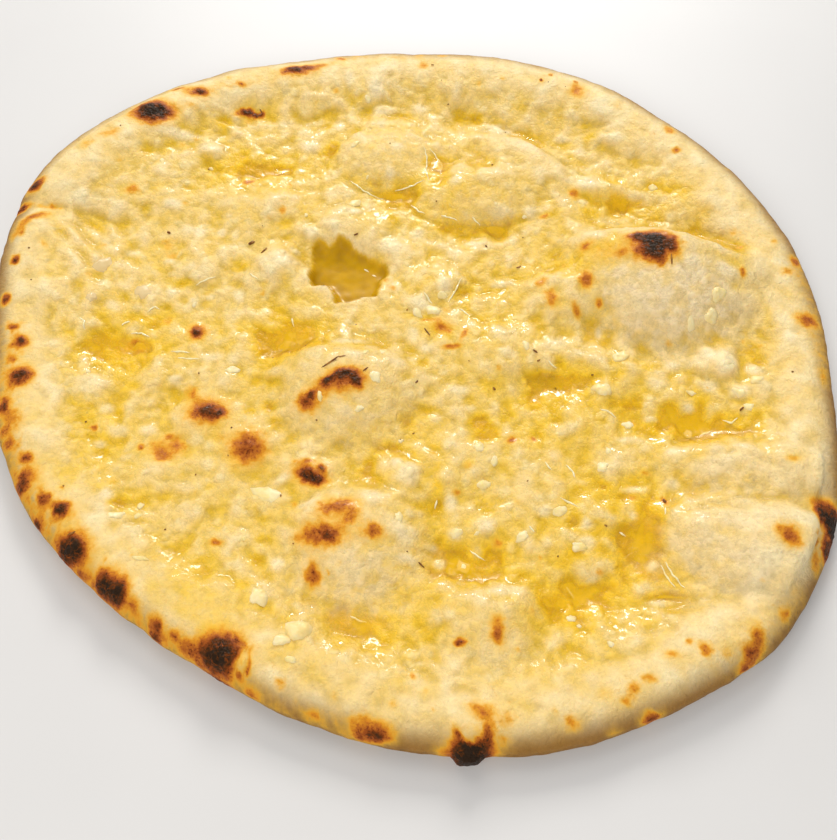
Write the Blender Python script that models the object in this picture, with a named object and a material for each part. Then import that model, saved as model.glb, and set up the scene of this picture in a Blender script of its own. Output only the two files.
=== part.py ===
"""A butter naan: a round oven flatbread with a puffed rim, blisters, a burst one and bits of garlic.

The mesh is in metres, +Z up, and the sizes below are in millimetres. The bread lies on its flat
underside, and the origin is the middle of the box round it, at the bottom. +X is to the right of
the bread as it is served, and +Y is its far side. It is one solid: the garlic is fused on.
"""

import math
import random

import bmesh
import bpy
from mathutils import Matrix, Vector, noise

MM = 0.001

# The plan: the rim's radius every 15 degrees, from +X towards +Y.
RIM_RADII = (
    141, 141, 140, 138, 138, 136, 134, 136, 143, 150, 154, 147,
    139, 136, 133, 129, 128, 132, 138, 144, 148, 153, 150, 143,
)
RIM_WOBBLE = 0.8
RIM_WOBBLE_LENGTH = 16.0

# The section: how high the rim's crest stands, every 30 degrees, and the thin middle.
RIM_CRESTS = (11.0, 11.5, 12.0, 11.5, 12.5, 12.0, 10.0, 11.5, 12.0, 11.0, 11.0, 12.0)
MIDDLE_THICKNESS = 6.5
CREST_INSET = 13.0
RIM_WIDTH = 31.0
RIM_WIDTH_CHANGE = 5.0
RIM_WIDTH_LENGTH = 45.0
NOSE_LENGTH = 12.0
NOSE_HEIGHT = 4.8
NOSE_ANGLES = (62, 38, 14, -12, -40, -68)
THINNEST = 2.4

# The underside rests on a flat three-cornered patch and lifts a little towards the rim.
FLAT_CORNERS = 3
FLAT_SHARE = 0.74
REST_LIFT = 0.4
EDGE_LIFT = 1.2
EDGE_LIFT_CHANGE = 0.7

# Blisters: x, y, half-length, half-width, turn in degrees, height, and how far the crest leans
# towards the far side, as a share of the half-width.
BLISTERS = {
    "largest": (86, 18, 36, 23, -12, 15.5, 0.5),
    "largest shoulder": (57, 15, 17, 12, 0, 6.0, 0.2),
    "middle left": (-20, -23, 25, 20, -6, 9.5, 0.45),
    "right upper": (104, -53, 25, 12, -6, 7.0, 0.25),
    "right lower": (99, -77, 26, 16.5, -4, 9.5, 0.35),
    "near left": (-15, -75, 23, 18.5, 6, 7.5, 0.4),
    "near middle": (24, -101, 16, 13, 0, 5.0, 0.3),
    "far smooth": (25, 60, 24, 15, -5, 6.5, 0.4),
    "far left": (-8, 80, 18, 16, 0, 5.5, 0.1),
    "far fold": (48, 74, 25, 12, -33, 5.0, 0.6),
    "burst side": (-47, 28, 14, 10, 10, 3.5, 0.2),
    "burst far side": (-20, 47, 17, 7, 0, 3.0, 0.0),
    "far knob": (-49, 54, 16, 11, 0, 3.5, 0.3),
    "centre": (30, -6, 22, 13, -10, 3.5, 0.2),
    "centre far": (10, 21, 11, 9, 0, 3.5, 0.2),
    "centre small": (24, 12, 8, 6, 20, 2.8, 0.0),
    "pair left": (0, -55, 10, 7.5, 0, 4.0, 0.2),
    "pair right": (11, -58, 7, 6, 0, 3.5, 0.0),
    "brown small": (-50, -42, 9, 8, 0, 3.2, 0.2),
    "brown middle": (-64, -30, 10, 7, 0, 2.5, 0.2),
    "charred small": (-29, -53, 9, 7, -20, 2.8, 0.2),
    "right lump": (102, -13, 9, 7, -10, 3.5, 0.0),
    "far bulb": (69, 63, 10, 5, -8, 3.0, 0.0),
    "far left lump": (-72, 82, 7, 6, 0, 2.5, 0.0),
    "left shoulder": (-100, 74, 34, 19, 35, 3.0, 0.0),
    "left swell": (-112, 25, 17, 26, 10, 2.0, 0.0),
    "near right swell": (86, -112, 26, 11, 24, 2.5, 0.0),
    "rim char near": (-52, -112, 9, 7, 0, 2.2, 0.0),
    "rim char left": (-101, -78, 7, 5.5, 0, 1.8, 0.0),
    "rim char left pair": (-88, -90, 8, 5.5, -25, 1.8, 0.0),
    "rim char front": (18, -131, 9, 7, 0, 2.4, 0.0),
    "rim char far": (-94, 99, 8, 5.5, 0, 1.8, 0.0),
}
BLISTER_POWER = 0.85

# Hollows, where the butter gathers: x, y, half-length, half-width, turn and depth.
HOLLOWS = {
    "middle left": (-39, -1, 13, 9, 10, 2.6),
    "left": (-97, -3, 17, 9, -5, 2.6),
    "far gap": (13, 71, 6, 10, -12, 3.2),
    "far channel": (27, 43, 19, 4.5, 2, 3.0),
    "far corner": (-4, 59, 8, 5, -30, 2.2),
    "far right": (80, 55, 17, 6, -8, 2.8),
    "behind largest": (108, 37, 12, 8, -25, 2.4),
    "far left": (-50, 73, 15, 6, 0, 2.4),
    "right": (86, -35, 20, 8, -3, 3.2),
    "centre": (27, -38, 12, 6, 25, 2.6),
    "centre right": (53, -20, 14, 6, -12, 2.2),
    "near right": (70, -76, 8, 18, 8, 3.4),
    "near middle": (18, -83, 13, 8, -12, 2.8),
    "near pool": (53, -93, 17, 9, 6, 3.0),
    "near left": (-13, -102, 12, 5, 0, 2.8),
    "near left corner": (-34, -108, 9, 4, 20, 2.0),
}
HOLLOW_POWER = 0.85

# The burst blister: two lobes with steep walls, torn open down to a thin floor.
BURST_LOBES = ((-18, 29, 14, 9.5, -8), (-30, 34, 7, 6, 20))
BURST_FLOOR = 2.6
BURST_LIP = 1.8
BURST_WALL = 0.2

# Creases: points along the line, width and depth.
CREASES = {
    "left rim fold": (((-150, 53), (-132, 56), (-116, 54), (-100, 50)), 3.2, 3.0),
    "far valley": (((20, 99), (32, 95), (45, 89), (57, 79), (64, 71)), 4.2, 3.6),
    "near right fold": (((62, -97), (72, -96), (84, -96)), 2.6, 2.2),
    "between right blisters": (((80, -66), (98, -69), (116, -67), (128, -62)), 3.0, 2.2),
    "rim corner far left": (((-60, 96), (-44, 92), (-30, 96)), 4.0, 1.6),
}

# Uneven dough: bump height and length, large and small.
SWELLS = ((1.4, 24.0), (1.2, 11.0))
SMOOTH_SHARE = 0.7
NOISE_PLANE = 3.7

# The mesh: rings of triangles from the middle out, then round the nose and back underneath.
TOP_RINGS = 30
UNDER_RINGS = ((90, 0.93), (48, 0.8))
SIDES = 6

# Garlic, each bit half sunk in the bread: x, y, length, width, thickness and turn.
NAMED_BITS = {
    "near block": (-31, -103, 9.5, 8.0, 5.0, -12),
    "near block side": (-38, -106, 5.5, 4.5, 3.6, 15),
    "near pale": (-43, -93, 7.5, 6.5, 4.2, 40),
    "near crumb": (-33, -113, 4.5, 3.5, 3.2, 0),
    "right wedge": (64, -24, 9.0, 6.5, 4.0, -20),
    "right wedge far": (71, -10, 7.0, 5.5, 3.6, 30),
    "side block": (109, -1, 6.0, 6.5, 4.0, 10),
    "side block near": (117, 9, 6.0, 5.0, 3.8, 35),
    "right bit": (108, -25, 5.5, 4.0, 3.4, -30),
    "right bit side": (115, -21, 5.0, 4.0, 3.2, 10),
    "left flake": (-43, -60, 11.0, 6.5, 3.4, -22),
    "left grain": (-89, -66, 6.0, 3.6, 3.2, 15),
    "left grain side": (-81, -67, 5.0, 3.4, 3.0, 30),
    "left sliver": (-80, -80, 6.5, 3.2, 3.0, -5),
    "blister grain": (-27, -29, 4.6, 3.4, 3.0, 80),
    "middle bit": (35, -74, 5.5, 4.0, 3.6, 20),
    "middle bit far": (24, -57, 5.0, 4.2, 3.4, 0),
    "middle bit left": (15, -72, 4.5, 3.8, 3.2, 50),
    "clear round": (-105, 31, 7.0, 7.0, 3.4, 0),
    "clear round near": (-90, 19, 7.0, 6.5, 3.4, 0),
    "far left bit": (-85, 58, 8.0, 5.0, 3.4, 10),
    "burst bit": (-4, 15, 6.0, 5.0, 3.6, 25),
    "centre bit": (13, 6, 5.5, 4.5, 3.6, -15),
    "far bit": (-20, 100, 6.0, 4.0, 3.0, 0),
    "near rim bit": (14, -116, 6.0, 4.5, 3.4, 10),
}
LOOSE_BITS = 30
LOOSE_LENGTHS = (4.2, 6.6)
LOOSE_REACH = 0.8
BIT_SPACING = 8.5
BIT_SINK = 0.3
BIT_JITTER = 0.16
SEED = 7

CRUST_COLOUR = (0.91, 0.77, 0.46, 1.0)
CRUST_ROUGHNESS = 0.6


def smooth_step(low, high, value):
    """0 below low, 1 above high and a smooth rise between them."""
    share = min(1.0, max(0.0, (value - low) / (high - low)))
    return share * share * (3.0 - 2.0 * share)


def round_the_rim(values, angle):
    """A smooth closed curve through values that stand at even angles."""
    place = (angle / math.tau) % 1.0 * len(values)
    start = int(place)
    t = place - start
    a, b, c, d = (values[(start + step) % len(values)] for step in (-1, 0, 1, 2))
    bend = 2 * a - 5 * b + 4 * c - d
    return b + 0.5 * t * (c - a + t * (bend + t * (3 * (b - c) + d - a)))


def rim_noise(angle, length):
    """Noise along the rim, whose bumps are about as long as length."""
    radius = RIM_RADII[0] / length
    return noise.noise(Vector((math.cos(angle) * radius, math.sin(angle) * radius, length)))


def rim_radius(angle):
    return round_the_rim(RIM_RADII, angle) + RIM_WOBBLE * rim_noise(angle, RIM_WOBBLE_LENGTH)


def reach(x, y, oval, lean=0.0):
    """How far a point is from an oval's middle: 1 is its edge. A lean moves the middle to +y."""
    middle_x, middle_y, half_length, half_width, turn = oval
    turn = math.radians(turn)
    dx, dy = x - middle_x, y - middle_y
    along = dx * math.cos(turn) + dy * math.sin(turn)
    across = dy * math.cos(turn) - dx * math.sin(turn)
    across -= lean * half_width
    half_width *= 1.0 - lean if across > 0 else 1.0 + lean
    return math.hypot(along / half_length, across / half_width)


def distance_to_line(x, y, points):
    """The distance from a point to a line of straight pieces."""
    shortest = math.inf
    for (ax, ay), (bx, by) in zip(points, points[1:]):
        run_x, run_y = bx - ax, by - ay
        share = ((x - ax) * run_x + (y - ay) * run_y) / (run_x**2 + run_y**2)
        share = min(1.0, max(0.0, share))
        shortest = min(shortest, math.hypot(x - ax - share * run_x, y - ay - share * run_y))
    return shortest


def blister_lift(x, y):
    """The height that the blisters add: where two meet, the higher one shows."""
    lift = 0.0
    for *oval, height, lean in BLISTERS.values():
        gap = reach(x, y, oval, lean)
        if gap < 1.0:
            lift = max(lift, height * (1.0 - gap * gap) ** BLISTER_POWER)
    return lift


def hollow_depth(x, y):
    depth = 0.0
    for *oval, deepest in HOLLOWS.values():
        gap = reach(x, y, oval)
        if gap < 1.0:
            depth = max(depth, deepest * (1.0 - gap * gap) ** HOLLOW_POWER)
    return depth


def burst_height(x, y, height):
    """Tears the burst blister open: a raised lip, steep walls and a thin floor."""
    gap = min(reach(x, y, lobe) for lobe in BURST_LOBES)
    height += BURST_LIP * math.exp(-(((gap - 1.15) / BURST_WALL) ** 2))
    inside = 1.0 - smooth_step(1.0 - BURST_WALL, 1.0 + BURST_WALL, gap)
    return height + (BURST_FLOOR - height) * inside


def top_height(x, y):
    """The upper face over a point of the plan, before the edge is rounded."""
    angle = math.atan2(y, x)
    inset = rim_radius(angle) - math.hypot(x, y)
    width = RIM_WIDTH + RIM_WIDTH_CHANGE * rim_noise(angle, RIM_WIDTH_LENGTH)
    rim = 1.0 - smooth_step(CREST_INSET, width, inset)
    crest = round_the_rim(RIM_CRESTS, angle)
    height = MIDDLE_THICKNESS + (crest - MIDDLE_THICKNESS) * rim
    lift = blister_lift(x, y)
    smooth = max(rim, smooth_step(0.0, 4.0, lift)) * SMOOTH_SHARE
    height += lift - hollow_depth(x, y) * (1.0 - rim)
    for points, width, depth in CREASES.values():
        height -= depth * math.exp(-((distance_to_line(x, y, points) / width) ** 2))
    for swell, length in SWELLS:
        place = Vector((x / length, y / length, NOISE_PLANE * length))
        height += (1.0 - smooth) * swell * noise.noise(place)
    return max(burst_height(x, y, height), THINNEST)


def under_height(x, y):
    """The lower face outside its flat patch, which lifts gently to the rim."""
    angle = math.atan2(y, x)
    share = math.hypot(x, y) / rim_radius(angle)
    lift = EDGE_LIFT + EDGE_LIFT_CHANGE * math.sin(3 * angle + 1.0)
    return REST_LIFT + lift * smooth_step(FLAT_SHARE, 1.0, share)


def ring(count, point_at):
    """The points of one ring, by their angle."""
    return [point_at(math.tau * step / count) for step in range(count)]


def flat_ring(count, share, height_at):
    """A ring on the upper or the lower face, at a share of the way to the nose."""

    def point_at(angle):
        radius = share * (rim_radius(angle) - NOSE_LENGTH)
        x, y = radius * math.cos(angle), radius * math.sin(angle)
        return Vector((x, y, height_at(x, y)))

    return ring(count, point_at)


def nose_ring(count, turn):
    """A ring round the rim's rounded edge: turn is 90 at the top, 0 outermost and -90 below."""
    turn = math.radians(turn)

    def point_at(angle):
        radius = rim_radius(angle) - NOSE_LENGTH * (1.0 - math.cos(turn))
        x, y = radius * math.cos(angle), radius * math.sin(angle)
        face = top_height(x, y) if turn > 0 else under_height(x, y)
        return Vector((x, y, NOSE_HEIGHT + (face - NOSE_HEIGHT) * abs(math.sin(turn))))

    return ring(count, point_at)


def bread_rings():
    """Every ring, from the middle of the upper face, round the edge, to the middle below."""
    edge = SIDES * TOP_RINGS
    rings = [[Vector((0.0, 0.0, top_height(0.0, 0.0)))]]
    for step in range(1, TOP_RINGS + 1):
        rings.append(flat_ring(SIDES * step, step / TOP_RINGS, top_height))
    rings += [nose_ring(edge, turn) for turn in NOSE_ANGLES]
    rings += [flat_ring(count, share, under_height) for count, share in UNDER_RINGS]
    rings.append(flat_ring(FLAT_CORNERS, FLAT_SHARE, lambda x, y: 0.0))
    rings.append([Vector((0.0, 0.0, 0.0))])
    return rings


def stitch(bm, first, second):
    """Fills the band between two rings of any counts with triangles."""
    first_steps = len(first) if len(first) > 1 else 0
    second_steps = len(second) if len(second) > 1 else 0
    i = j = 0
    while i < first_steps or j < second_steps:
        a, b = first[i % len(first)], second[j % len(second)]
        first_next = (i + 1) / first_steps if i < first_steps else math.inf
        second_next = (j + 1) / second_steps if j < second_steps else math.inf
        if second_next <= first_next:
            j += 1
            bm.faces.new((a, b, second[j % len(second)]))
        else:
            i += 1
            bm.faces.new((a, b, first[i % len(first)]))


def new_object(name, bm, material, collection):
    mesh = bpy.data.meshes.new(name)
    bm.to_mesh(mesh)
    bm.free()
    mesh.materials.append(material)
    made = bpy.data.objects.new(name, mesh)
    collection.objects.link(made)
    return made


def make_bread(material):
    bm = bmesh.new()
    rings = [[bm.verts.new(point * MM) for point in points] for points in bread_rings()]
    for first, second in zip(rings, rings[1:]):
        stitch(bm, first, second)
    return new_object("naan", bm, material, bpy.context.scene.collection)


def loose_bits(draw):
    """Bits scattered over the middle of the bread, clear of the named ones and of the burst."""
    placed = [bit[:2] for bit in NAMED_BITS.values()]
    while len(placed) < len(NAMED_BITS) + LOOSE_BITS:
        angle = draw.uniform(0.0, math.tau)
        radius = LOOSE_REACH * rim_radius(angle) * math.sqrt(draw.random())
        x, y = radius * math.cos(angle), radius * math.sin(angle)
        length = draw.uniform(*LOOSE_LENGTHS)
        width = length * draw.uniform(0.6, 0.9)
        turn = draw.uniform(0.0, 180.0)
        crowded = any(math.dist((x, y), other) < BIT_SPACING for other in placed)
        in_burst = min(reach(x, y, lobe) for lobe in BURST_LOBES) < 1.6
        if crowded or in_burst or blister_lift(x, y) > 2.5:
            continue
        placed.append((x, y))
        yield x, y, length, width, width * 0.85, turn


def make_bit(shape, draw, material, collection):
    """One bit of garlic: an uneven lump with twenty faces, lying along the bread's slope."""
    x, y, length, width, thickness, turn = shape
    bm = bmesh.new()
    bmesh.ops.create_icosphere(bm, subdivisions=1, radius=0.5)
    for vert in bm.verts:
        vert.co *= 1.0 + draw.uniform(-BIT_JITTER, BIT_JITTER)
        vert.co = Vector((vert.co.x * length, vert.co.y * width, vert.co.z * thickness))
    side = 0.5 * width
    slope_x = top_height(x + side, y) - top_height(x - side, y)
    slope_y = top_height(x, y + side) - top_height(x, y - side)
    up = Vector((-slope_x, -slope_y, 2.0 * side)).normalized()
    lie = up.to_track_quat("Z", "Y").to_matrix().to_4x4()
    spin = Matrix.Rotation(math.radians(turn), 4, "Z")
    height = sum(top_height(x + dx, y) for dx in (-side, 0.0, side)) / 3.0
    place = Matrix.Translation(Vector((x, y, height)) + up * thickness * (0.5 - BIT_SINK) * 0.5)
    bm.transform(Matrix.Scale(MM, 4) @ place @ lie @ spin)
    return new_object("garlic", bm, material, collection)


def fuse(bread, bits):
    """Joins the bits to the bread as one closed solid."""
    union = bread.modifiers.new("garlic", "BOOLEAN")
    union.operation = "UNION"
    union.operand_type = "COLLECTION"
    union.collection = bits
    union.solver = "MANIFOLD"
    graph = bpy.context.evaluated_depsgraph_get()
    fused = bpy.data.meshes.new_from_object(bread.evaluated_get(graph), depsgraph=graph)
    bread.modifiers.clear()
    bread.data = fused
    for bit in list(bits.objects):
        bpy.data.objects.remove(bit)
    bpy.data.collections.remove(bits)


def centre(mesh):
    """Moves the mesh so that its box stands on the origin."""
    xs, ys, zs = zip(*(vert.co for vert in mesh.vertices))
    middle = Vector((min(xs) + max(xs), min(ys) + max(ys), 2.0 * min(zs))) / 2.0
    mesh.transform(Matrix.Translation(-middle))


def crust_material():
    material = bpy.data.materials.new("crust")
    material.use_nodes = True
    shader = material.node_tree.nodes["Principled BSDF"]
    shader.inputs["Base Color"].default_value = CRUST_COLOUR
    shader.inputs["Roughness"].default_value = CRUST_ROUGHNESS
    return material


def main():
    for old in list(bpy.data.objects):
        bpy.data.objects.remove(old, do_unlink=True)
    draw = random.Random(SEED)
    crust = crust_material()
    bread = make_bread(crust)
    bits = bpy.data.collections.new("garlic bits")
    bpy.context.scene.collection.children.link(bits)
    for shape in [*NAMED_BITS.values(), *loose_bits(draw)]:
        make_bit(shape, draw, crust, bits)
    fuse(bread, bits)
    centre(bread.data)
    bread.data.shade_smooth()


main()
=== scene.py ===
"""The looks of a butter naan: blistered, charred crust, melted butter, garlic and a few dark flecks.

Sizes are in millimetres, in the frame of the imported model, until a mesh or a light is made. A pair
of numbers called a pixel is a place in the photograph, 837 wide and 840 high: the camera's ray
through it finds the point of the bread that it shows.
"""

import math
import random
from functools import partial

import bmesh
import bpy
import numpy as np
from mathutils import Matrix, Vector, noise
from mathutils.bvhtree import BVHTree


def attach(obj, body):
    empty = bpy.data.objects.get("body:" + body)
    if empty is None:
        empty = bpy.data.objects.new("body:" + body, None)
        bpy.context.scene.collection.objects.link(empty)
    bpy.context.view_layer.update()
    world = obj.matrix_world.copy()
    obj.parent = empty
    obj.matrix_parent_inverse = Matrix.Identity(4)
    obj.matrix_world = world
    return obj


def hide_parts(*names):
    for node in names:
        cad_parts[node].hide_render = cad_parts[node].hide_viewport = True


MM = 0.001
UP = Vector((0.0, 0.0, 1.0))

# The camera, at the photograph's viewing angle.
PHOTO_WIDTH, PHOTO_HEIGHT = 837, 840
FIELD_OF_VIEW = 40.0
SENSOR_WIDTH = 36.0
CAMERA_ELEVATION = 59.833
CAMERA_DISTANCE = 378.1
CAMERA_TARGET = (4.708, -26.101)
CAMERA_ROLL = -0.593
MIDDLE_PIXEL = (418, 400)

# The skin: rings of points over the top, round the rounded edge, and back underneath. Above HIGHEST,
# only the share SQUASH of the extra height is kept.
TOP_RINGS = 150
NOSE_STEPS = 18
UNDER_RINGS = 44
NOSE_INSET = 12.0
CORE_HEIGHT = 4.8
BASE_BLUR = 2.1
HIGHEST = 21.8
SQUASH = 0.4

# Rays start this far outside the bread, or this far above and below it. The outline is where they
# meet the rounded edge, at these heights and at even angles.
OUTSIDE = 400.0
ABOVE = 100.0
EDGE_HEIGHTS = (3.6, CORE_HEIGHT, 6.0)
EDGE_BLUR = 2.0
RIM_ANGLES = 1440
MEAN_RADIUS = 140.0

# The plan is worked out on a grid of square cells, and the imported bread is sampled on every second.
CELL = 0.5
PLAN_X, PLAN_Y = 150.0, 146.0
SAMPLE_STEP = 2

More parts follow.
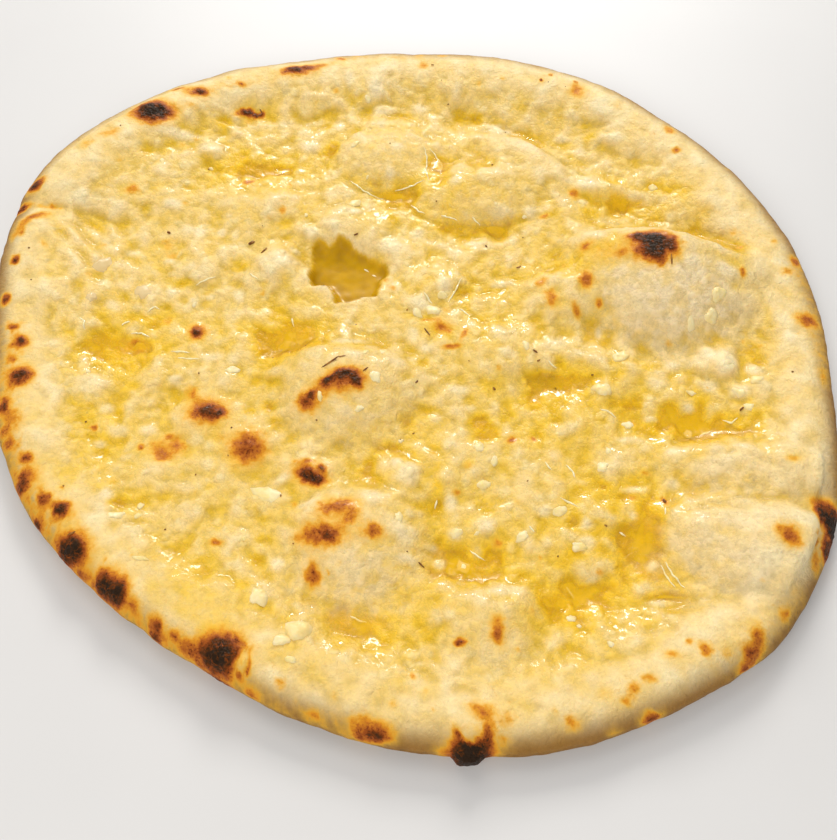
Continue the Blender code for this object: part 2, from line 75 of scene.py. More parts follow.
# Burns by place: pixel, length and depth along the crust, turn in degrees, and heat, where about
# 0.3 is orange, 0.5 orange-brown, 0.8 brown and 1.2 black.
BURNS = {
    "far left": (
        (153, 111, 12, 8.4, 6, 1.5), (160, 110, 14, 9, 6, 0.3), (201, 92, 6, 3.4, -12, 0.85),
        (195, 92, 10, 6, -8, 0.4), (178, 89, 7, 3, 10, 0.55), (190, 106, 7, 4, 0, 0.26),
        (110, 133, 12, 5, 15, 0.3), (88, 144, 7, 4, 30, 0.26), (133, 189, 5, 4.4, 0, 0.36),
        (133, 190, 9, 7, 0, 0.16), (119, 160, 4, 3, 0, 0.22)),
    "far rim": (
        (295, 70, 9, 4, 4, 0.95), (308, 68, 10, 3, 4, 0.6), (322, 66, 6, 2.4, 6, 0.4),
        (341, 59, 4.8, 2.4, -10, 0.5), (357, 56, 4.2, 2, 0, 0.55), (298, 72, 15, 6, 4, 0.28),
        (241, 85, 4.6, 3.2, -10, 0.5), (423, 65, 5.6, 4.4, 0, 0.36), (420, 53, 4, 2, 0, 0.45),
        (442, 56, 4, 2.4, 0, 0.34), (577, 91, 7, 7.4, 0, 0.38), (577, 92, 11, 10, 0, 0.16),
        (575, 83, 1.8, 1.8, 0, 0.85), (541, 80, 1.6, 1.6, 0, 0.9), (551, 75, 1.6, 1.6, 0, 0.8),
        (478, 84, 3.2, 2.8, 0, 0.24), (503, 78, 2.8, 2.6, 0, 0.28), (336, 92, 2.8, 2.6, 0, 0.4)),
    "far curl": (
        (247, 112, 5, 3.2, 6, 1), (255, 116, 5, 2, -10, 0.85), (262, 114, 2, 3.4, -20, 0.8),
        (239, 114, 5, 3, 6, 0.45), (250, 122, 6, 5, 0, 0.26)),
    "far right": (
        (669, 130, 5.4, 5, -15, 0.4), (676, 150, 4.2, 3, 10, 0.5), (728, 168, 3.4, 2.4, -20, 0.24),
        (574, 194, 4.4, 5, 0, 0.44), (796, 262, 5, 6, -30, 0.6), (788, 272, 6, 5, 0, 0.34),
        (734, 232, 3.4, 3, 0, 0.26), (774, 241, 2.8, 3.2, 0, 0.28), (743, 272, 2.6, 4.4, 0, 0.55)),
    "left rim": (
        (35, 185, 6.6, 4.6, 32, 1.05), (38, 184, 10, 7, 32, 0.36), (22, 210, 6.4, 2.8, 30, 1.05),
        (36, 216, 11, 3.6, 14, 0.5), (24, 223, 9, 5, 40, 0.36), (21, 232, 4, 5, 30, 0.4),
        (12, 237, 2.6, 5, 10, 0.4), (44, 243, 2.6, 6, 45, 0.28), (16, 260, 3.6, 3.6, 0, 0.85),
        (6, 300, 3.6, 5, 0, 0.85), (13, 327, 4.4, 2.4, 0, 0.7), (21, 341, 4.4, 3.8, 0, 0.9),
        (21, 343, 7.5, 6.5, 0, 0.26), (12, 359, 3.4, 4, 30, 0.45), (20, 376, 8.4, 6, 12, 0.9),
        (20, 377, 12, 9, 10, 0.26), (3, 407, 4, 6.4, 0, 0.95), (12, 419, 8, 7, 0, 0.36),
        (5, 431, 4, 5.4, 0, 0.5), (9, 444, 4, 4.6, 0, 0.7), (26, 458, 4.6, 4, 15, 0.72),
        (21, 486, 5, 7.4, -25, 0.8), (26, 478, 8, 10, -25, 0.42), (45, 499, 4.8, 5, 0, 0.66),
        (61, 510, 5.6, 5, -10, 1.05), (68, 512, 9, 7, -10, 0.3), (37, 526, 4.4, 5.4, -20, 0.9)),
    "near left": (
        (69, 550, 9.6, 8.6, 10, 1.35), (71, 552, 14, 12, 10, 0.36), (81, 577, 5.4, 5, -30, 0.6),
        (104, 581, 8, 7.4, 0, 0.66), (104, 588, 6.4, 7, -20, 1.1), (117, 592, 5.6, 8, -15, 1.2),
        (109, 586, 14, 13, -30, 0.34), (133, 606, 4.4, 5.4, 0, 0.44), (157, 626, 4.2, 5.4, 0, 0.72),
        (156, 637, 5.6, 3.4, -10, 0.8), (174, 636, 4.8, 4.4, 0, 0.5), (120, 600, 6, 5, -30, 0.4)),
    "near crater": (
        (222, 655, 11, 10.6, 0, 1.15), (215, 656, 12, 13, 0, 0.62), (203, 654, 8, 10, 0, 0.45),
        (218, 640, 10, 4, 0, 0.42), (189, 649, 7.6, 6, 10, 0.5), (218, 680, 11, 2, -18, 0.8),
        (222, 657, 19, 17, 0, 0.22), (253, 694, 5.2, 3, -25, 0.6)),
    "near rim": (
        (281, 683, 4, 3.4, 0, 0.36), (314, 715, 4.6, 3.6, 0, 0.4), (334, 696, 3, 3, 0, 0.28),
        (393, 704, 3, 3, 0, 0.3), (426, 692, 2.8, 3, 20, 0.3), (372, 736, 11, 4.4, 4, 0.86),
        (380, 731, 6, 5, 0, 0.45), (364, 724, 13, 6, 0, 0.34), (362, 718, 7, 4, 20, 0.22)),
    "front crown": (
        (469, 756, 9, 7, 0, 1.7), (469, 748, 5, 6, 0, 1.3), (458, 751, 4, 4.6, 0, 0.8),
        (459, 738, 2.4, 6, 20, 0.66), (481, 748, 4.6, 5.6, 0, 0.7), (487, 736, 4, 9, -10, 0.62),
        (479, 755, 4.6, 5, 0, 0.8), (486, 752, 6, 7, 0, 0.45), (483, 711, 7.6, 5, -25, 0.42),
        (477, 705, 8, 4, -10, 0.24), (508, 720, 6, 5.4, -30, 0.3), (504, 742, 4, 4.4, 0, 0.28),
        (446, 752, 5, 3.4, 0, 0.36), (473, 743, 21, 19, 0, 0.2)),
    "near middle": (
        (497, 634, 4.4, 6, 5, 0.5), (499, 622, 4.4, 6, 5, 0.34), (460, 642, 3.6, 2.4, 5, 0.8),
        (582, 627, 2.8, 2.8, 0, 0.3), (531, 611, 2.8, 3.6, 0, 0.34), (498, 629, 8, 11, 0, 0.14)),
    "near right": (
        (571, 723, 5.2, 5, 0, 0.38), (652, 719, 6, 4.2, 10, 0.85), (650, 678, 5.4, 3.6, -10, 0.34),
        (634, 689, 4, 5, -30, 0.4), (627, 702, 4.4, 4, 0, 0.34), (672, 654, 5.4, 3.4, 0, 0.36),
        (706, 650, 3.8, 4.6, 20, 0.56), (726, 652, 4, 4.2, 0, 0.28), (606, 694, 6.4, 4.4, 0, 0.18),
        (615, 733, 6, 4.4, 0, 0.24), (757, 642, 4.4, 10, -4, 0.5), (753, 656, 5, 7, 10, 0.55),
        (746, 668, 5.6, 5, 20, 0.62), (756, 650, 9, 15, 0, 0.24), (786, 614, 3.8, 5, -15, 0.4)),
    "right": (
        (812, 503, 4, 5, 0, 0.45), (821, 512, 4.6, 8, -20, 1.1), (830, 522, 5, 9, 0, 1.4),
        (834, 534, 6, 12, 0, 1.6), (826, 550, 4.6, 10, 10, 0.95), (816, 562, 4, 9, 15, 0.42),
        (815, 538, 2.6, 6, 15, 0.6), (781, 527, 4, 4, 0, 0.36), (790, 533, 6.6, 7.4, 10, 0.42),
        (794, 541, 4, 4.4, 10, 0.42), (790, 534, 11, 10, 0, 0.22), (793, 457, 5, 2.8, 0, 0.36),
        (808, 321, 8, 5, -20, 0.56), (806, 322, 12, 8, -20, 0.24), (824, 380, 4, 7, 0, 0.28)),
    "largest": (
        (658, 242, 11, 9, -10, 1.2), (649, 237, 10, 3.6, 0, 1.05), (636, 235, 7, 2.2, 5, 0.75),
        (653, 250, 9.6, 7.6, -10, 0.8), (657, 258, 6.4, 6.4, -15, 0.5), (642, 246, 7, 6, 20, 0.42),
        (672, 246, 3.6, 5, -15, 0.7), (653, 248, 18, 14, -10, 0.26), (621, 252, 6.4, 3.4, 10, 0.34),
        (586, 246, 5.4, 4, 10, 0.5), (586, 280, 5.6, 6.6, 0, 0.56), (541, 282, 5, 4.6, 0, 0.4),
        (551, 298, 5, 8.6, 15, 0.43), (576, 310, 3.4, 7.6, 15, 0.43), (599, 304, 3, 4, 0, 0.45),
        (608, 250, 24, 12, -5, 0.2), (669, 344, 3.4, 3.4, 0, 0.28)),
    "middle arc": (
        (305, 402, 5, 5, -30, 0.6), (312, 395, 3.2, 3.8, -20, 0.85), (327, 381, 5.4, 3, 30, 0.85),
        (337, 375, 5.4, 3.4, 10, 0.7), (348, 373, 5.6, 4.4, 0, 1.05), (356, 380, 4.6, 4.6, 30, 0.85),
        (335, 382, 19, 8, 20, 0.4), (308, 402, 11, 9, 0, 0.4), (347, 379, 18, 12, 0, 0.36)),
    "left middle": (
        (206, 411, 9.4, 6.8, 0, 0.8), (219, 413, 3.6, 3.2, 0, 0.9), (194, 396, 4.4, 8.4, 30, 0.4),
        (206, 409, 19, 14, 0, 0.34), (247, 447, 11.4, 11.2, 0, 0.6), (247, 446, 17, 16, 0, 0.25),
        (222, 437, 6, 5, 0, 0.2), (197, 333, 5, 5, -20, 0.85), (197, 332, 9, 9, 0, 0.3),
        (135, 348, 6.5, 4, -15, 0.46), (141, 345, 7, 5, 0, 0.28), (168, 322, 4.4, 5.4, 0, 0.3),
        (168, 247, 5.4, 5, 0, 0.28), (174, 257, 5, 3, -50, 0.26), (249, 183, 5.6, 3, 15, 0.5)),
    "charred flake": (
        (308, 475, 8, 4.6, -22, 1.05), (318, 479, 4.6, 3, -22, 0.95), (322, 469, 3.4, 2.6, -30, 0.75),
        (307, 462, 7, 2.8, 5, 0.42), (311, 474, 15, 9, -15, 0.3)),
    "toast": (
        (328, 535, 6.4, 5, 0, 0.66), (322, 534, 16, 9, 0, 0.48), (310, 534, 6.4, 5, 0, 0.4),
        (336, 506, 13, 6, 12, 0.52), (350, 515, 7, 6, 40, 0.46), (373, 531, 8.4, 6.6, 0, 0.46),
        (375, 531, 3.4, 3.4, 0, 0.3), (323, 504, 4.6, 4, 0, 0.26), (296, 538, 4, 3.4, 0, 0.3),
        (313, 577, 4.8, 7, 0, 0.5), (314, 571, 7, 9, 0, 0.3), (334, 521, 36, 26, 10, 0.13)),
    "small": (
        (141, 448, 2.8, 2.4, 0, 0.6), (95, 429, 2.6, 2.6, 0, 0.9), (512, 441, 3.8, 3.4, 35, 0.6),
        (533, 439, 3.2, 2, -30, 0.5), (468, 466, 4.2, 3, 0, 0.32), (457, 492, 3.6, 2.6, 0, 0.4),
        (497, 543, 4, 4.2, 30, 0.34), (216, 543, 4.4, 3, -10, 0.52), (278, 491, 3, 3, 0, 0.38),
        (114, 483, 3.6, 3.4, 0, 0.26), (599, 571, 3.4, 3.4, 0, 0.34), (632, 498, 4.4, 3, 0, 0.32),
        (393, 288, 3, 3, 0, 0.32), (645, 473, 3.6, 2.4, 20, 0.3), (632, 425, 3.4, 3.2, 0, 0.34),
        (447, 312, 5, 4, 0, 0.26), (441, 329, 6, 4.6, 0, 0.42), (664, 502, 2.6, 3.6, 20, 0.55),
        (452, 346, 7.5, 2.2, 0, 0.5), (464, 334, 2.2, 6, -25, 0.42), (427, 321, 6.5, 2, 0, 0.36),
        (437, 322, 4, 3, 0, 0.4), (449, 330, 4.4, 2.6, 20, 0.34), (441, 326, 12, 9, 0, 0.16)),
    "left orange ring": (
        (159, 452, 5, 7.6, 20, 0.42), (171, 438, 4.6, 2.6, 0, 0.46), (165, 458, 6.4, 4, 10, 0.36),
        (178, 447, 6, 5.6, 0, 0.4), (170, 452, 7, 5, 0, 0.2), (169, 449, 17, 13, 0, 0.24)),
}

# A burn lies between the crust's own slope and level.
BURN_UPRIGHT = 0.35

# Charred bubbles: pixel, radius, spacing and height of the curled ridges round the pixel.
CURLS = {
    "near left black": (69, 550, 4.4, 2, 0.7),
    "near left pair": (104, 587, 2.8, 2, 0.6),
    "near left pair side": (117, 592, 2.4, 1.8, 0.7),
    "near crater": (226, 658, 6, 2.6, 0.8),
    "left ring": (20, 376, 3, 1.8, 0.7),
    "left low dark": (61, 510, 2.2, 1.6, 0.5),
    "far left black": (151, 112, 3.6, 2.2, 0.5),
    "charred flake": (309, 475, 3.2, 2.4, 0.6),
    "front crown": (472, 740, 4.4, 3.4, 0.9),
    "far curl": (256, 113, 2.6, 1.8, 0.6),
}

# Charred lumps that stand out from the edge: pixel, radius and how far they stand out.
CHAR_LUMPS = {"front crown": (468, 758, 4.0, 2.4)}

# A pale skin left inside the crater: pixel, length, depth and turn.
PALE_SKINS = {"near crater": (241, 661, 3.6, 8.4, -25), "front crown": (470, 736, 5.2, 3.6, 0)}

# Burnt rings: pixel, radius, thickness and heat.
BURNT_RINGS = {
    "near crater rim": (230, 659, 5.6, 1.6, 0.62),
    "swirl": (170, 249, 3.8, 1.8, 0.22),
}

# Toasted strips: the pixels that they run through, width and heat.
TOASTED = {
    "left": (((14, 330), (6, 400), (14, 470), (34, 520), (64, 560)), 7, 0.26),
    "near left": (((64, 560), (100, 592), (140, 624), (178, 650), (215, 672)), 6, 0.34),
    "near": (((215, 672), (250, 694), (300, 716), (370, 736)), 5, 0.2),
    "far left": (((40, 175), (62, 152), (100, 129), (140, 108), (175, 94), (215, 88)), 4, 0.12),
    "left fold": (((24, 209), (40, 206), (60, 207)), 1.6, 0.4),
    "left low": (((20, 476), (42, 514), (70, 546)), 9, 0.2),
    "near right": (((735, 666), (765, 636), (796, 600)), 7, 0.16),
    "right": (((800, 270), (812, 310), (826, 372)), 5, 0.2),
    "far": (((215, 88), (300, 70), (360, 58), (430, 58)), 4, 0.16),
}

# Butter: pixel, length and depth along the crust, turn, and how high it stands.
POOLS = {
    "middle left": (290, 340, 20, 15, 0, 1),
    "left": (118, 349, 30, 16, 0, 0.9),
    "left far": (146, 322, 18, 8, 0, 0.8),
    "left channel": (200, 300, 22, 7, 25, 0.6),
    "far gap": (437, 172, 9, 15, 0, 1.1),
    "far channel": (478, 231, 28, 5, 0, 1.1),
    "far corner": (393, 199, 14, 6, -25, 0.9),
    "far right": (618, 206, 24, 7, -5, 1),
    "far right sheet": (655, 200, 20, 6, 0, 0.5),
    "behind largest": (722, 248, 13, 7, -30, 0.9),
    "far left": (247, 171, 15, 6, 0, 0.9),
    "far left right": (284, 175, 12, 6, 0, 0.8),
    "far": (332, 150, 10, 7, 0, 0.8),
    "right": (680, 422, 34, 15, 0, 1.1),
    "right streak": (632, 404, 24, 4, -5, 1),
    "centre": (491, 436, 17, 11, 30, 1),
    "centre right": (567, 383, 15, 7, 0, 0.8),
    "centre near": (534, 403, 14, 7, 20, 0.8),
    "near right": (645, 540, 11, 32, -6, 1.1),
    "near middle": (463, 572, 22, 13, 10, 1),
    "near pool": (567, 605, 28, 16, 0, 1.1),
    "near foot": (648, 580, 20, 13, 0, 1.1),
    "near centre": (590, 558, 26, 12, 0, 0.9),
    "near left": (362, 626, 20, 8, 0, 1),
    "near left corner": (290, 647, 12, 5, 10, 0.9),
    "burst": (350, 268, 26, 20, 0, 1.2),
}

# Where the dough is steeped in butter: pixel, length, depth, turn and strength.
STEEPED = {
    "left": (120, 350, 60, 44, 0, 0.8),
    "left low": (110, 420, 50, 40, 0, 0.45),
    "middle": (290, 345, 60, 40, 0, 0.8),
    "far left": (260, 170, 70, 32, 0, 0.7),
    "far": (420, 195, 60, 40, 0, 0.75),
    "far right": (640, 205, 60, 24, 0, 0.75),
    "centre": (480, 300, 60, 60, 0, 0.45),
    "centre right": (560, 400, 90, 50, 0, 0.85),
    "right": (690, 425, 60, 36, 0, 0.9),
    "near right": (620, 540, 60, 70, 0, 0.9),
    "near": (470, 560, 80, 44, 0, 0.8),
    "near pool": (570, 605, 60, 34, 0, 0.9),
    "near left": (370, 630, 80, 24, 0, 0.7),
    "left near": (200, 560, 60, 40, 0, 0.4),
    "middle near": (410, 450, 40, 50, 0, 0.45),
    "behind largest": (725, 250, 30, 20, 0, 0.6),
    "low left": (135, 500, 26, 24, 0, 0.5),
}

# Where the crust is yellower than round it: pixel, length, depth, turn and strength.
YELLOWED = {
    "near left": (205, 608, 44, 26, -35, 0.3),
    "left low": (85, 455, 26, 50, -15, 0.16),
    "largest top": (600, 254, 44, 22, 0, 0.28),
    "far left dome": (385, 152, 34, 30, 0, 0.14),
    "far smooth": (476, 203, 44, 24, 0, 0.22),
    "middle dome": (352, 418, 44, 26, 0, 0.12),
    "near strip": (330, 668, 70, 14, -12, 0.16),
    "near right strip": (560, 672, 60, 12, 10, 0.12),
    "near dome": (370, 590, 40, 26, 0, 0.08),
    "left fold": (86, 198, 28, 18, 0, -0.18),
    "right domes": (742, 520, 70, 60, 0, -0.06),
    "far pools": (250, 170, 30, 16, 0, 0.28),
    "middle pool": (290, 345, 24, 20, 0, 0.3),
    "near right pool": (645, 540, 16, 34, -6, 0.2),
    "centre": (465, 400, 34, 22, 0, -0.12),
    "far gap": (437, 172, 12, 18, 0, 0.2),
    "side flake": (716, 360, 20, 15, 0, -0.2),
    "largest foot": (655, 350, 60, 14, -5, -0.14),
    # Paler on the largest blister's right flank: a painted highlight.
    "largest side": (735, 300, 24, 40, 0, -0.08),
}

# The smooth blisters, whose skin is stretched: pixel, length, depth, turn and how grey it is.
SMOOTH = {
    "largest": (672, 288, 64, 46, -10, 1),
    "far left": (385, 152, 34, 32, 0, 0.45),
    "far smooth": (476, 203, 44, 22, 0, 0.35),
    "middle": (346, 400, 50, 36, 0, 0.5),
    "right upper": (746, 478, 52, 22, 0, 0.55),
    "right lower": (736, 552, 60, 40, 0, 0.7),
    "near left": (360, 560, 50, 42, 0, 0.6),
    "near middle": (492, 640, 30, 22, 0, 0.4),
    "far fold": (527, 150, 44, 20, -30, 0.3),
}

# Creases in the dough: the pixels that they run through, width and depth.
CREASES = {
    "left fold": (((16, 212), (30, 207), (66, 208)), 1.2, 0.9),
    "left wrinkle": (((20, 226), (44, 226), (66, 234)), 1, 0.4),
    "left ridge": (((59, 221), (85, 247), (96, 258)), 1.6, -1),
    "left ridge side": (((41, 224), (60, 244), (77, 265), (90, 284), (90, 309)), 1.7, -1),
    "left ridge far": (((92, 222), (108, 228), (118, 240), (116, 256)), 1.5, -1),
    "left ridge low": (((36, 262), (44, 290), (64, 316), (88, 330)), 1.7, -0.5),
    "far ridge": (((210, 122), (236, 132), (252, 150)), 1.6, -0.6),
    "far shoulder ridge": (((300, 96), (330, 100), (352, 112)), 1.8, -0.6),
    "burst ridge": (((268, 236), (288, 228), (312, 230)), 1.7, -0.6),
    "centre ridge": (((418, 300), (434, 286), (462, 282), (480, 290)), 1.6, -0.6),
    "right ridge": (((560, 352), (590, 362), (628, 366)), 1.6, -0.6),
    "near ridge": (((392, 662), (430, 650), (462, 660)), 1.8, -0.6),
    "near right ridge": (((590, 652), (630, 640), (676, 636)), 1.8, -0.6),
    "middle ridge": (((400, 462), (424, 452), (446, 470), (440, 492)), 1.8, -0.6),
    "far valley": (((478, 124), (500, 128), (527, 138), (548, 152), (566, 164)), 1.4, 0.9),
    "right upper foot": (((668, 507), (673, 480), (700, 455), (738, 450), (790, 468)), 1.2, 0.7),
    "right lower foot": (((690, 510), (740, 497), (790, 500), (812, 512)), 1.2, 0.6),
    "right fold": (((646, 602), (664, 597), (684, 599)), 0.9, 0.9),
    "largest foot": (((560, 330), (600, 344), (650, 352), (690, 348)), 1.8, 0.2),
    "largest crease": (((676, 252), (684, 268), (690, 280)), 1, 0.5),
    "middle foot": (((280, 430), (330, 446), (390, 452), (420, 440)), 1.8, 0.2),
    "near left foot": (((288, 590), (330, 612), (390, 610), (428, 588)), 1.8, 0.2),
    "far smooth foot": (((412, 214), (440, 228), (500, 232), (538, 216)), 1.2, 0.6),
    "far left foot": (((336, 170), (352, 190), (384, 200), (414, 196)), 1.4, 0.6),
    "near fold": (((400, 690), (450, 676), (500, 672)), 1.6, 0.4),
    "left edge fold": (((112, 512), (126, 524), (140, 520)), 1, 0.5),
}

# Mounds in the dough: pixel, length, depth, turn and height.
MOUNDS = {
    "left fold": (104, 211, 26, 9, -8, 0.9),
    "far left": (265, 137, 20, 12, 0, 1.3),
    "far left rim": (212, 150, 9, 9, 20, 1.3),
    "far rim": (372, 90, 17, 17, 0, 1.2),
    "far rim right": (455, 96, 22, 12, 0, 0.9),
    "far shoulder": (310, 108, 14, 10, 20, 1),
    "far right rim": (622, 140, 20, 12, -30, 0.9),
    "far right flank": (655, 178, 16, 9, -20, 0.8),
    "left mound": (82, 395, 22, 20, 0, 0.8),
    "left rim mound": (55, 300, 14, 22, 10, 0.6),
    "side flake": (716, 360, 16, 13, -10, 1.1),
    "side flake far": (705, 349, 6.4, 5, 10, 0.6),
    "side flake near": (723, 369, 7.6, 5, -20, 0.6),
    "side flake right": (731, 351, 5.4, 4.6, 40, 0.5),
    "side flake left side": (702, 367, 5, 4, 0, 0.5),
    "side flake left": (640, 372, 12, 9, 0, 0.8),
    "middle right": (590, 350, 18, 9, -20, 0.8),
    "near right mound": (612, 640, 24, 12, 10, 0.9),
    "near right rim": (700, 622, 26, 13, 20, 0.8),
    "near rim": (430, 700, 26, 13, 0, 0.7),
    "near left rim": (290, 690, 24, 11, -25, 0.7),
    "right rim": (795, 400, 12, 26, 0, 0.7),
    "left low": (150, 470, 18, 12, 10, 0.7),
    "left centre": (190, 380, 14, 10, 0, 0.8),
    "burst left": (282, 262, 16, 13, 0, 0.9),
}

# Pale clear lumps in the buttered dough: pixel, length, depth and turn.
PALE_LUMPS = {
    "left": (
        (104, 283, 5, 3.5, 0), (112, 306, 6, 4.5, -30), (200, 234, 5, 4.5, 0), (171, 262, 4.5, 3, 0),
        (192, 268, 3.5, 2.5, 0), (210, 298, 4.5, 3, 0), (193, 302, 3.2, 3, 0), (240, 298, 4.5, 8, 0),
        (212, 358, 8, 4, 0), (232, 362, 4.5, 4.5, 0), (175, 380, 6, 3, 0), (90, 385, 11, 8, 0),
        (222, 234, 3.2, 4.5, 0), (236, 236, 3, 5, 0), (172, 293, 5, 4, 0), (133, 254, 6, 3, 0),
        (268, 312, 3, 3, 0)),
    "burst": (
        (282, 262, 8.5, 4, 0), (311, 232, 5, 7, 0), (296, 252, 4, 3, 0), (355, 212, 7, 5, 0),
        (388, 245, 8.5, 8, 0), (395, 287, 5, 6, 0)),
    "middle": (
        (418, 235, 7, 6, 0), (452, 253, 5, 5.5, 0), (472, 246, 7, 3, 0), (445, 285, 7, 9, 0),
        (420, 305, 8, 7, 20), (438, 313, 3.2, 4, 0), (454, 315, 4.2, 4.7, 0), (412, 337, 7, 6.5, 0),
        (425, 350, 5.5, 4.7, 0), (500, 285, 10, 2.8, 3), (510, 355, 9, 4, -20), (555, 345, 10, 8, 0),
        (472, 325, 4.2, 4, 0), (350, 342, 14, 4, 5), (460, 390, 7, 4, 0)),
    "right": (
        (598, 335, 2.8, 5.5, 0), (655, 385, 8, 4.7, 0), (672, 366, 7.5, 4, 0), (710, 385, 6, 5.5, 0),
        (740, 392, 7, 5.5, 0), (752, 372, 5.5, 6, 0), (690, 262, 7, 5.5, 0), (725, 270, 10, 5.5, -20),
        (790, 335, 5, 4, 0)),
    "left low": (
        (107, 410, 5.5, 4.7, 0), (118, 432, 7, 4.7, 0), (100, 445, 5, 3, 0), (150, 432, 6, 4, 0),
        (285, 478, 7, 3.5, 25), (108, 497, 5.5, 4.7, 0), (278, 566, 4, 4.7, 0), (305, 505, 9, 3, 12)),
    "centre": (
        (395, 463, 6, 3, 15), (410, 474, 8, 9, 0), (450, 505, 5, 6, 0), (455, 532, 5.5, 4, 0),
        (485, 525, 8, 6, 0), (483, 483, 2.2, 4.7, 0), (545, 512, 6, 4, 0), (565, 430, 8, 5.5, 0),
        (435, 418, 5, 3, 0), (470, 408, 4, 2.5, 0), (405, 560, 7, 4, 0), (430, 548, 5, 3, 0),
        (440, 565, 5, 4, 0), (505, 590, 13, 5.5, 0), (370, 495, 8, 6, 0), (400, 530, 13, 8, -20)),
    "near right": (
        (650, 424, 5, 3, 0), (690, 408, 4, 3, 0), (630, 440, 13, 2.5, -4), (672, 452, 5, 4.7, 0),
        (672, 485, 5.5, 5.5, 0), (635, 490, 10, 2.5, 0), (632, 518, 3.5, 3, 0), (585, 525, 6, 4, 0),
        (650, 568, 5, 4.7, 0), (660, 605, 9, 3, 0), (585, 545, 7.5, 6.5, 0)),
    "far": (
        (212, 148, 12, 9, 0), (180, 135, 20, 5, 0), (172, 202, 8, 4.7, 0), (350, 80, 3.5, 9, 0),
        (378, 90, 7, 11, 0), (340, 128, 4, 5.5, 0), (310, 150, 9, 5.5, -20), (395, 145, 7, 4.7, -40),
        (390, 172, 4, 5.5, 0), (385, 112, 10, 4.7, 0), (370, 205, 8, 5.5, 0), (500, 133, 13, 6, -10),
        (560, 140, 5, 4, 0), (580, 155, 6, 4.7, 0), (590, 183, 11, 6, 0), (455, 180, 5.5, 5.5, 0),
        (583, 203, 5, 2.5, 0), (420, 110, 8, 4.7, 0), (615, 140, 7, 4.7, 0), (650, 200, 20, 6, -8),
        # The far group's oval at (500, 212), on the far smooth blister, is a painted highlight.
        (500, 212, 10, 5.5, 0), (530, 215, 5, 6, 0)),
}

# Deep yellow hollows where butter stands: pixel, length, depth and turn.
AMBER_HOLLOWS = {
    "left": (
        (167, 325, 3, 4.2, 0), (141, 322, 4.5, 3, 10), (135, 348, 8.5, 7, -10), (242, 267, 4.5, 4, 20),
        (264, 285, 5.5, 3, -10), (185, 283, 8, 3, 10), (268, 352, 12, 8, 0), (296, 340, 9, 8, -20),
        (165, 308, 6.5, 3, 10), (285, 225, 5, 4, 0), (133, 243, 5, 3, 0), (125, 297, 4, 2, -30),
        (135, 387, 5, 3, 0), (178, 374, 5, 2, -20)),
    "middle": (
        (392, 220, 5, 2.8, 15), (508, 222, 3, 3, 0), (550, 215, 7, 3, 0), (590, 213, 10, 3, -10),
        (437, 329, 5, 4, 0), (427, 321, 6, 2, 0), (425, 365, 3.5, 3, 0), (560, 365, 3.5, 3, 0),
        (490, 322, 10, 1.6, 0), (366, 349, 8, 2, 0), (545, 385, 18, 8, -10), (497, 266, 2, 4, 30),
        (448, 232, 9, 3, -10), (480, 234, 14, 2.6, 3)),
    "right": (
        (735, 248, 7, 5, -15), (768, 318, 1.8, 14, 5), (735, 288, 4.5, 3, 0), (752, 347, 7, 2, -45),
        (760, 364, 4.5, 3, -20), (655, 368, 7, 2, 10), (670, 378, 3, 2.5, 0), (622, 375, 3, 2.5, 0),
        (610, 365, 3, 2, 0)),
    "left low": (
        (117, 503, 5.5, 4, 15), (115, 525, 3.5, 2.5, 0), (140, 523, 7, 1.8, 5), (258, 560, 5.5, 4, 0),
        (262, 540, 4.5, 4, 30), (113, 484, 3.5, 3, 0), (208, 488, 3.5, 3, 0), (275, 425, 5, 4, 0),
        (250, 412, 5, 3, 0), (268, 407, 5, 4, 0), (245, 585, 5.5, 4.7, 0)),
    "centre": (
        (480, 425, 10, 8, -20), (485, 440, 13, 5, 5), (470, 465, 5, 3, 0), (460, 570, 10, 8, 0),
        (490, 555, 3.5, 3.5, 40), (515, 574, 10, 1.6, -3), (575, 520, 6, 5, 0), (420, 508, 5.5, 1.6, 0),
        (440, 505, 2, 6, 10), (385, 450, 10, 3, 5), (368, 470, 4, 8, -20), (438, 485, 5.5, 5.5, 0)),
    "near right": (
        (655, 530, 6, 24, 0), (650, 580, 5.5, 3, 0), (655, 430, 10, 4, 0), (690, 440, 10, 3, 5),
        (700, 417, 3.5, 2.5, 0), (717, 425, 4, 4, 0), (634, 499, 4, 2, 0), (792, 457, 5.5, 2.8, 0),
        (662, 598, 12, 1.3, -2), (620, 544, 4, 3, 20), (605, 487, 3.5, 4, 0), (740, 433, 14, 1.6, -6)),
    "far": (
        (225, 125, 7, 6, 30), (206, 158, 5, 2.5, 0), (248, 165, 5.5, 6, 0), (284, 172, 8.5, 4.7, -15),
        (328, 129, 3, 3, 0), (363, 100, 3, 2.5, 0), (335, 150, 4, 8, 10), (406, 117, 8, 1.6, -5),
        (375, 185, 5, 3, -20), (400, 197, 9, 4, -5), (475, 119, 8, 2, 3), (570, 156, 3, 2, 0),
        (610, 182, 3.5, 4.7, 0), (590, 140, 7, 3, 0), (572, 110, 8, 2, 10), (447, 208, 6.5, 2, 0),
        (432, 178, 4.5, 4, 0), (545, 218, 4, 3, 0), (208, 187, 3, 2, 0)),
}
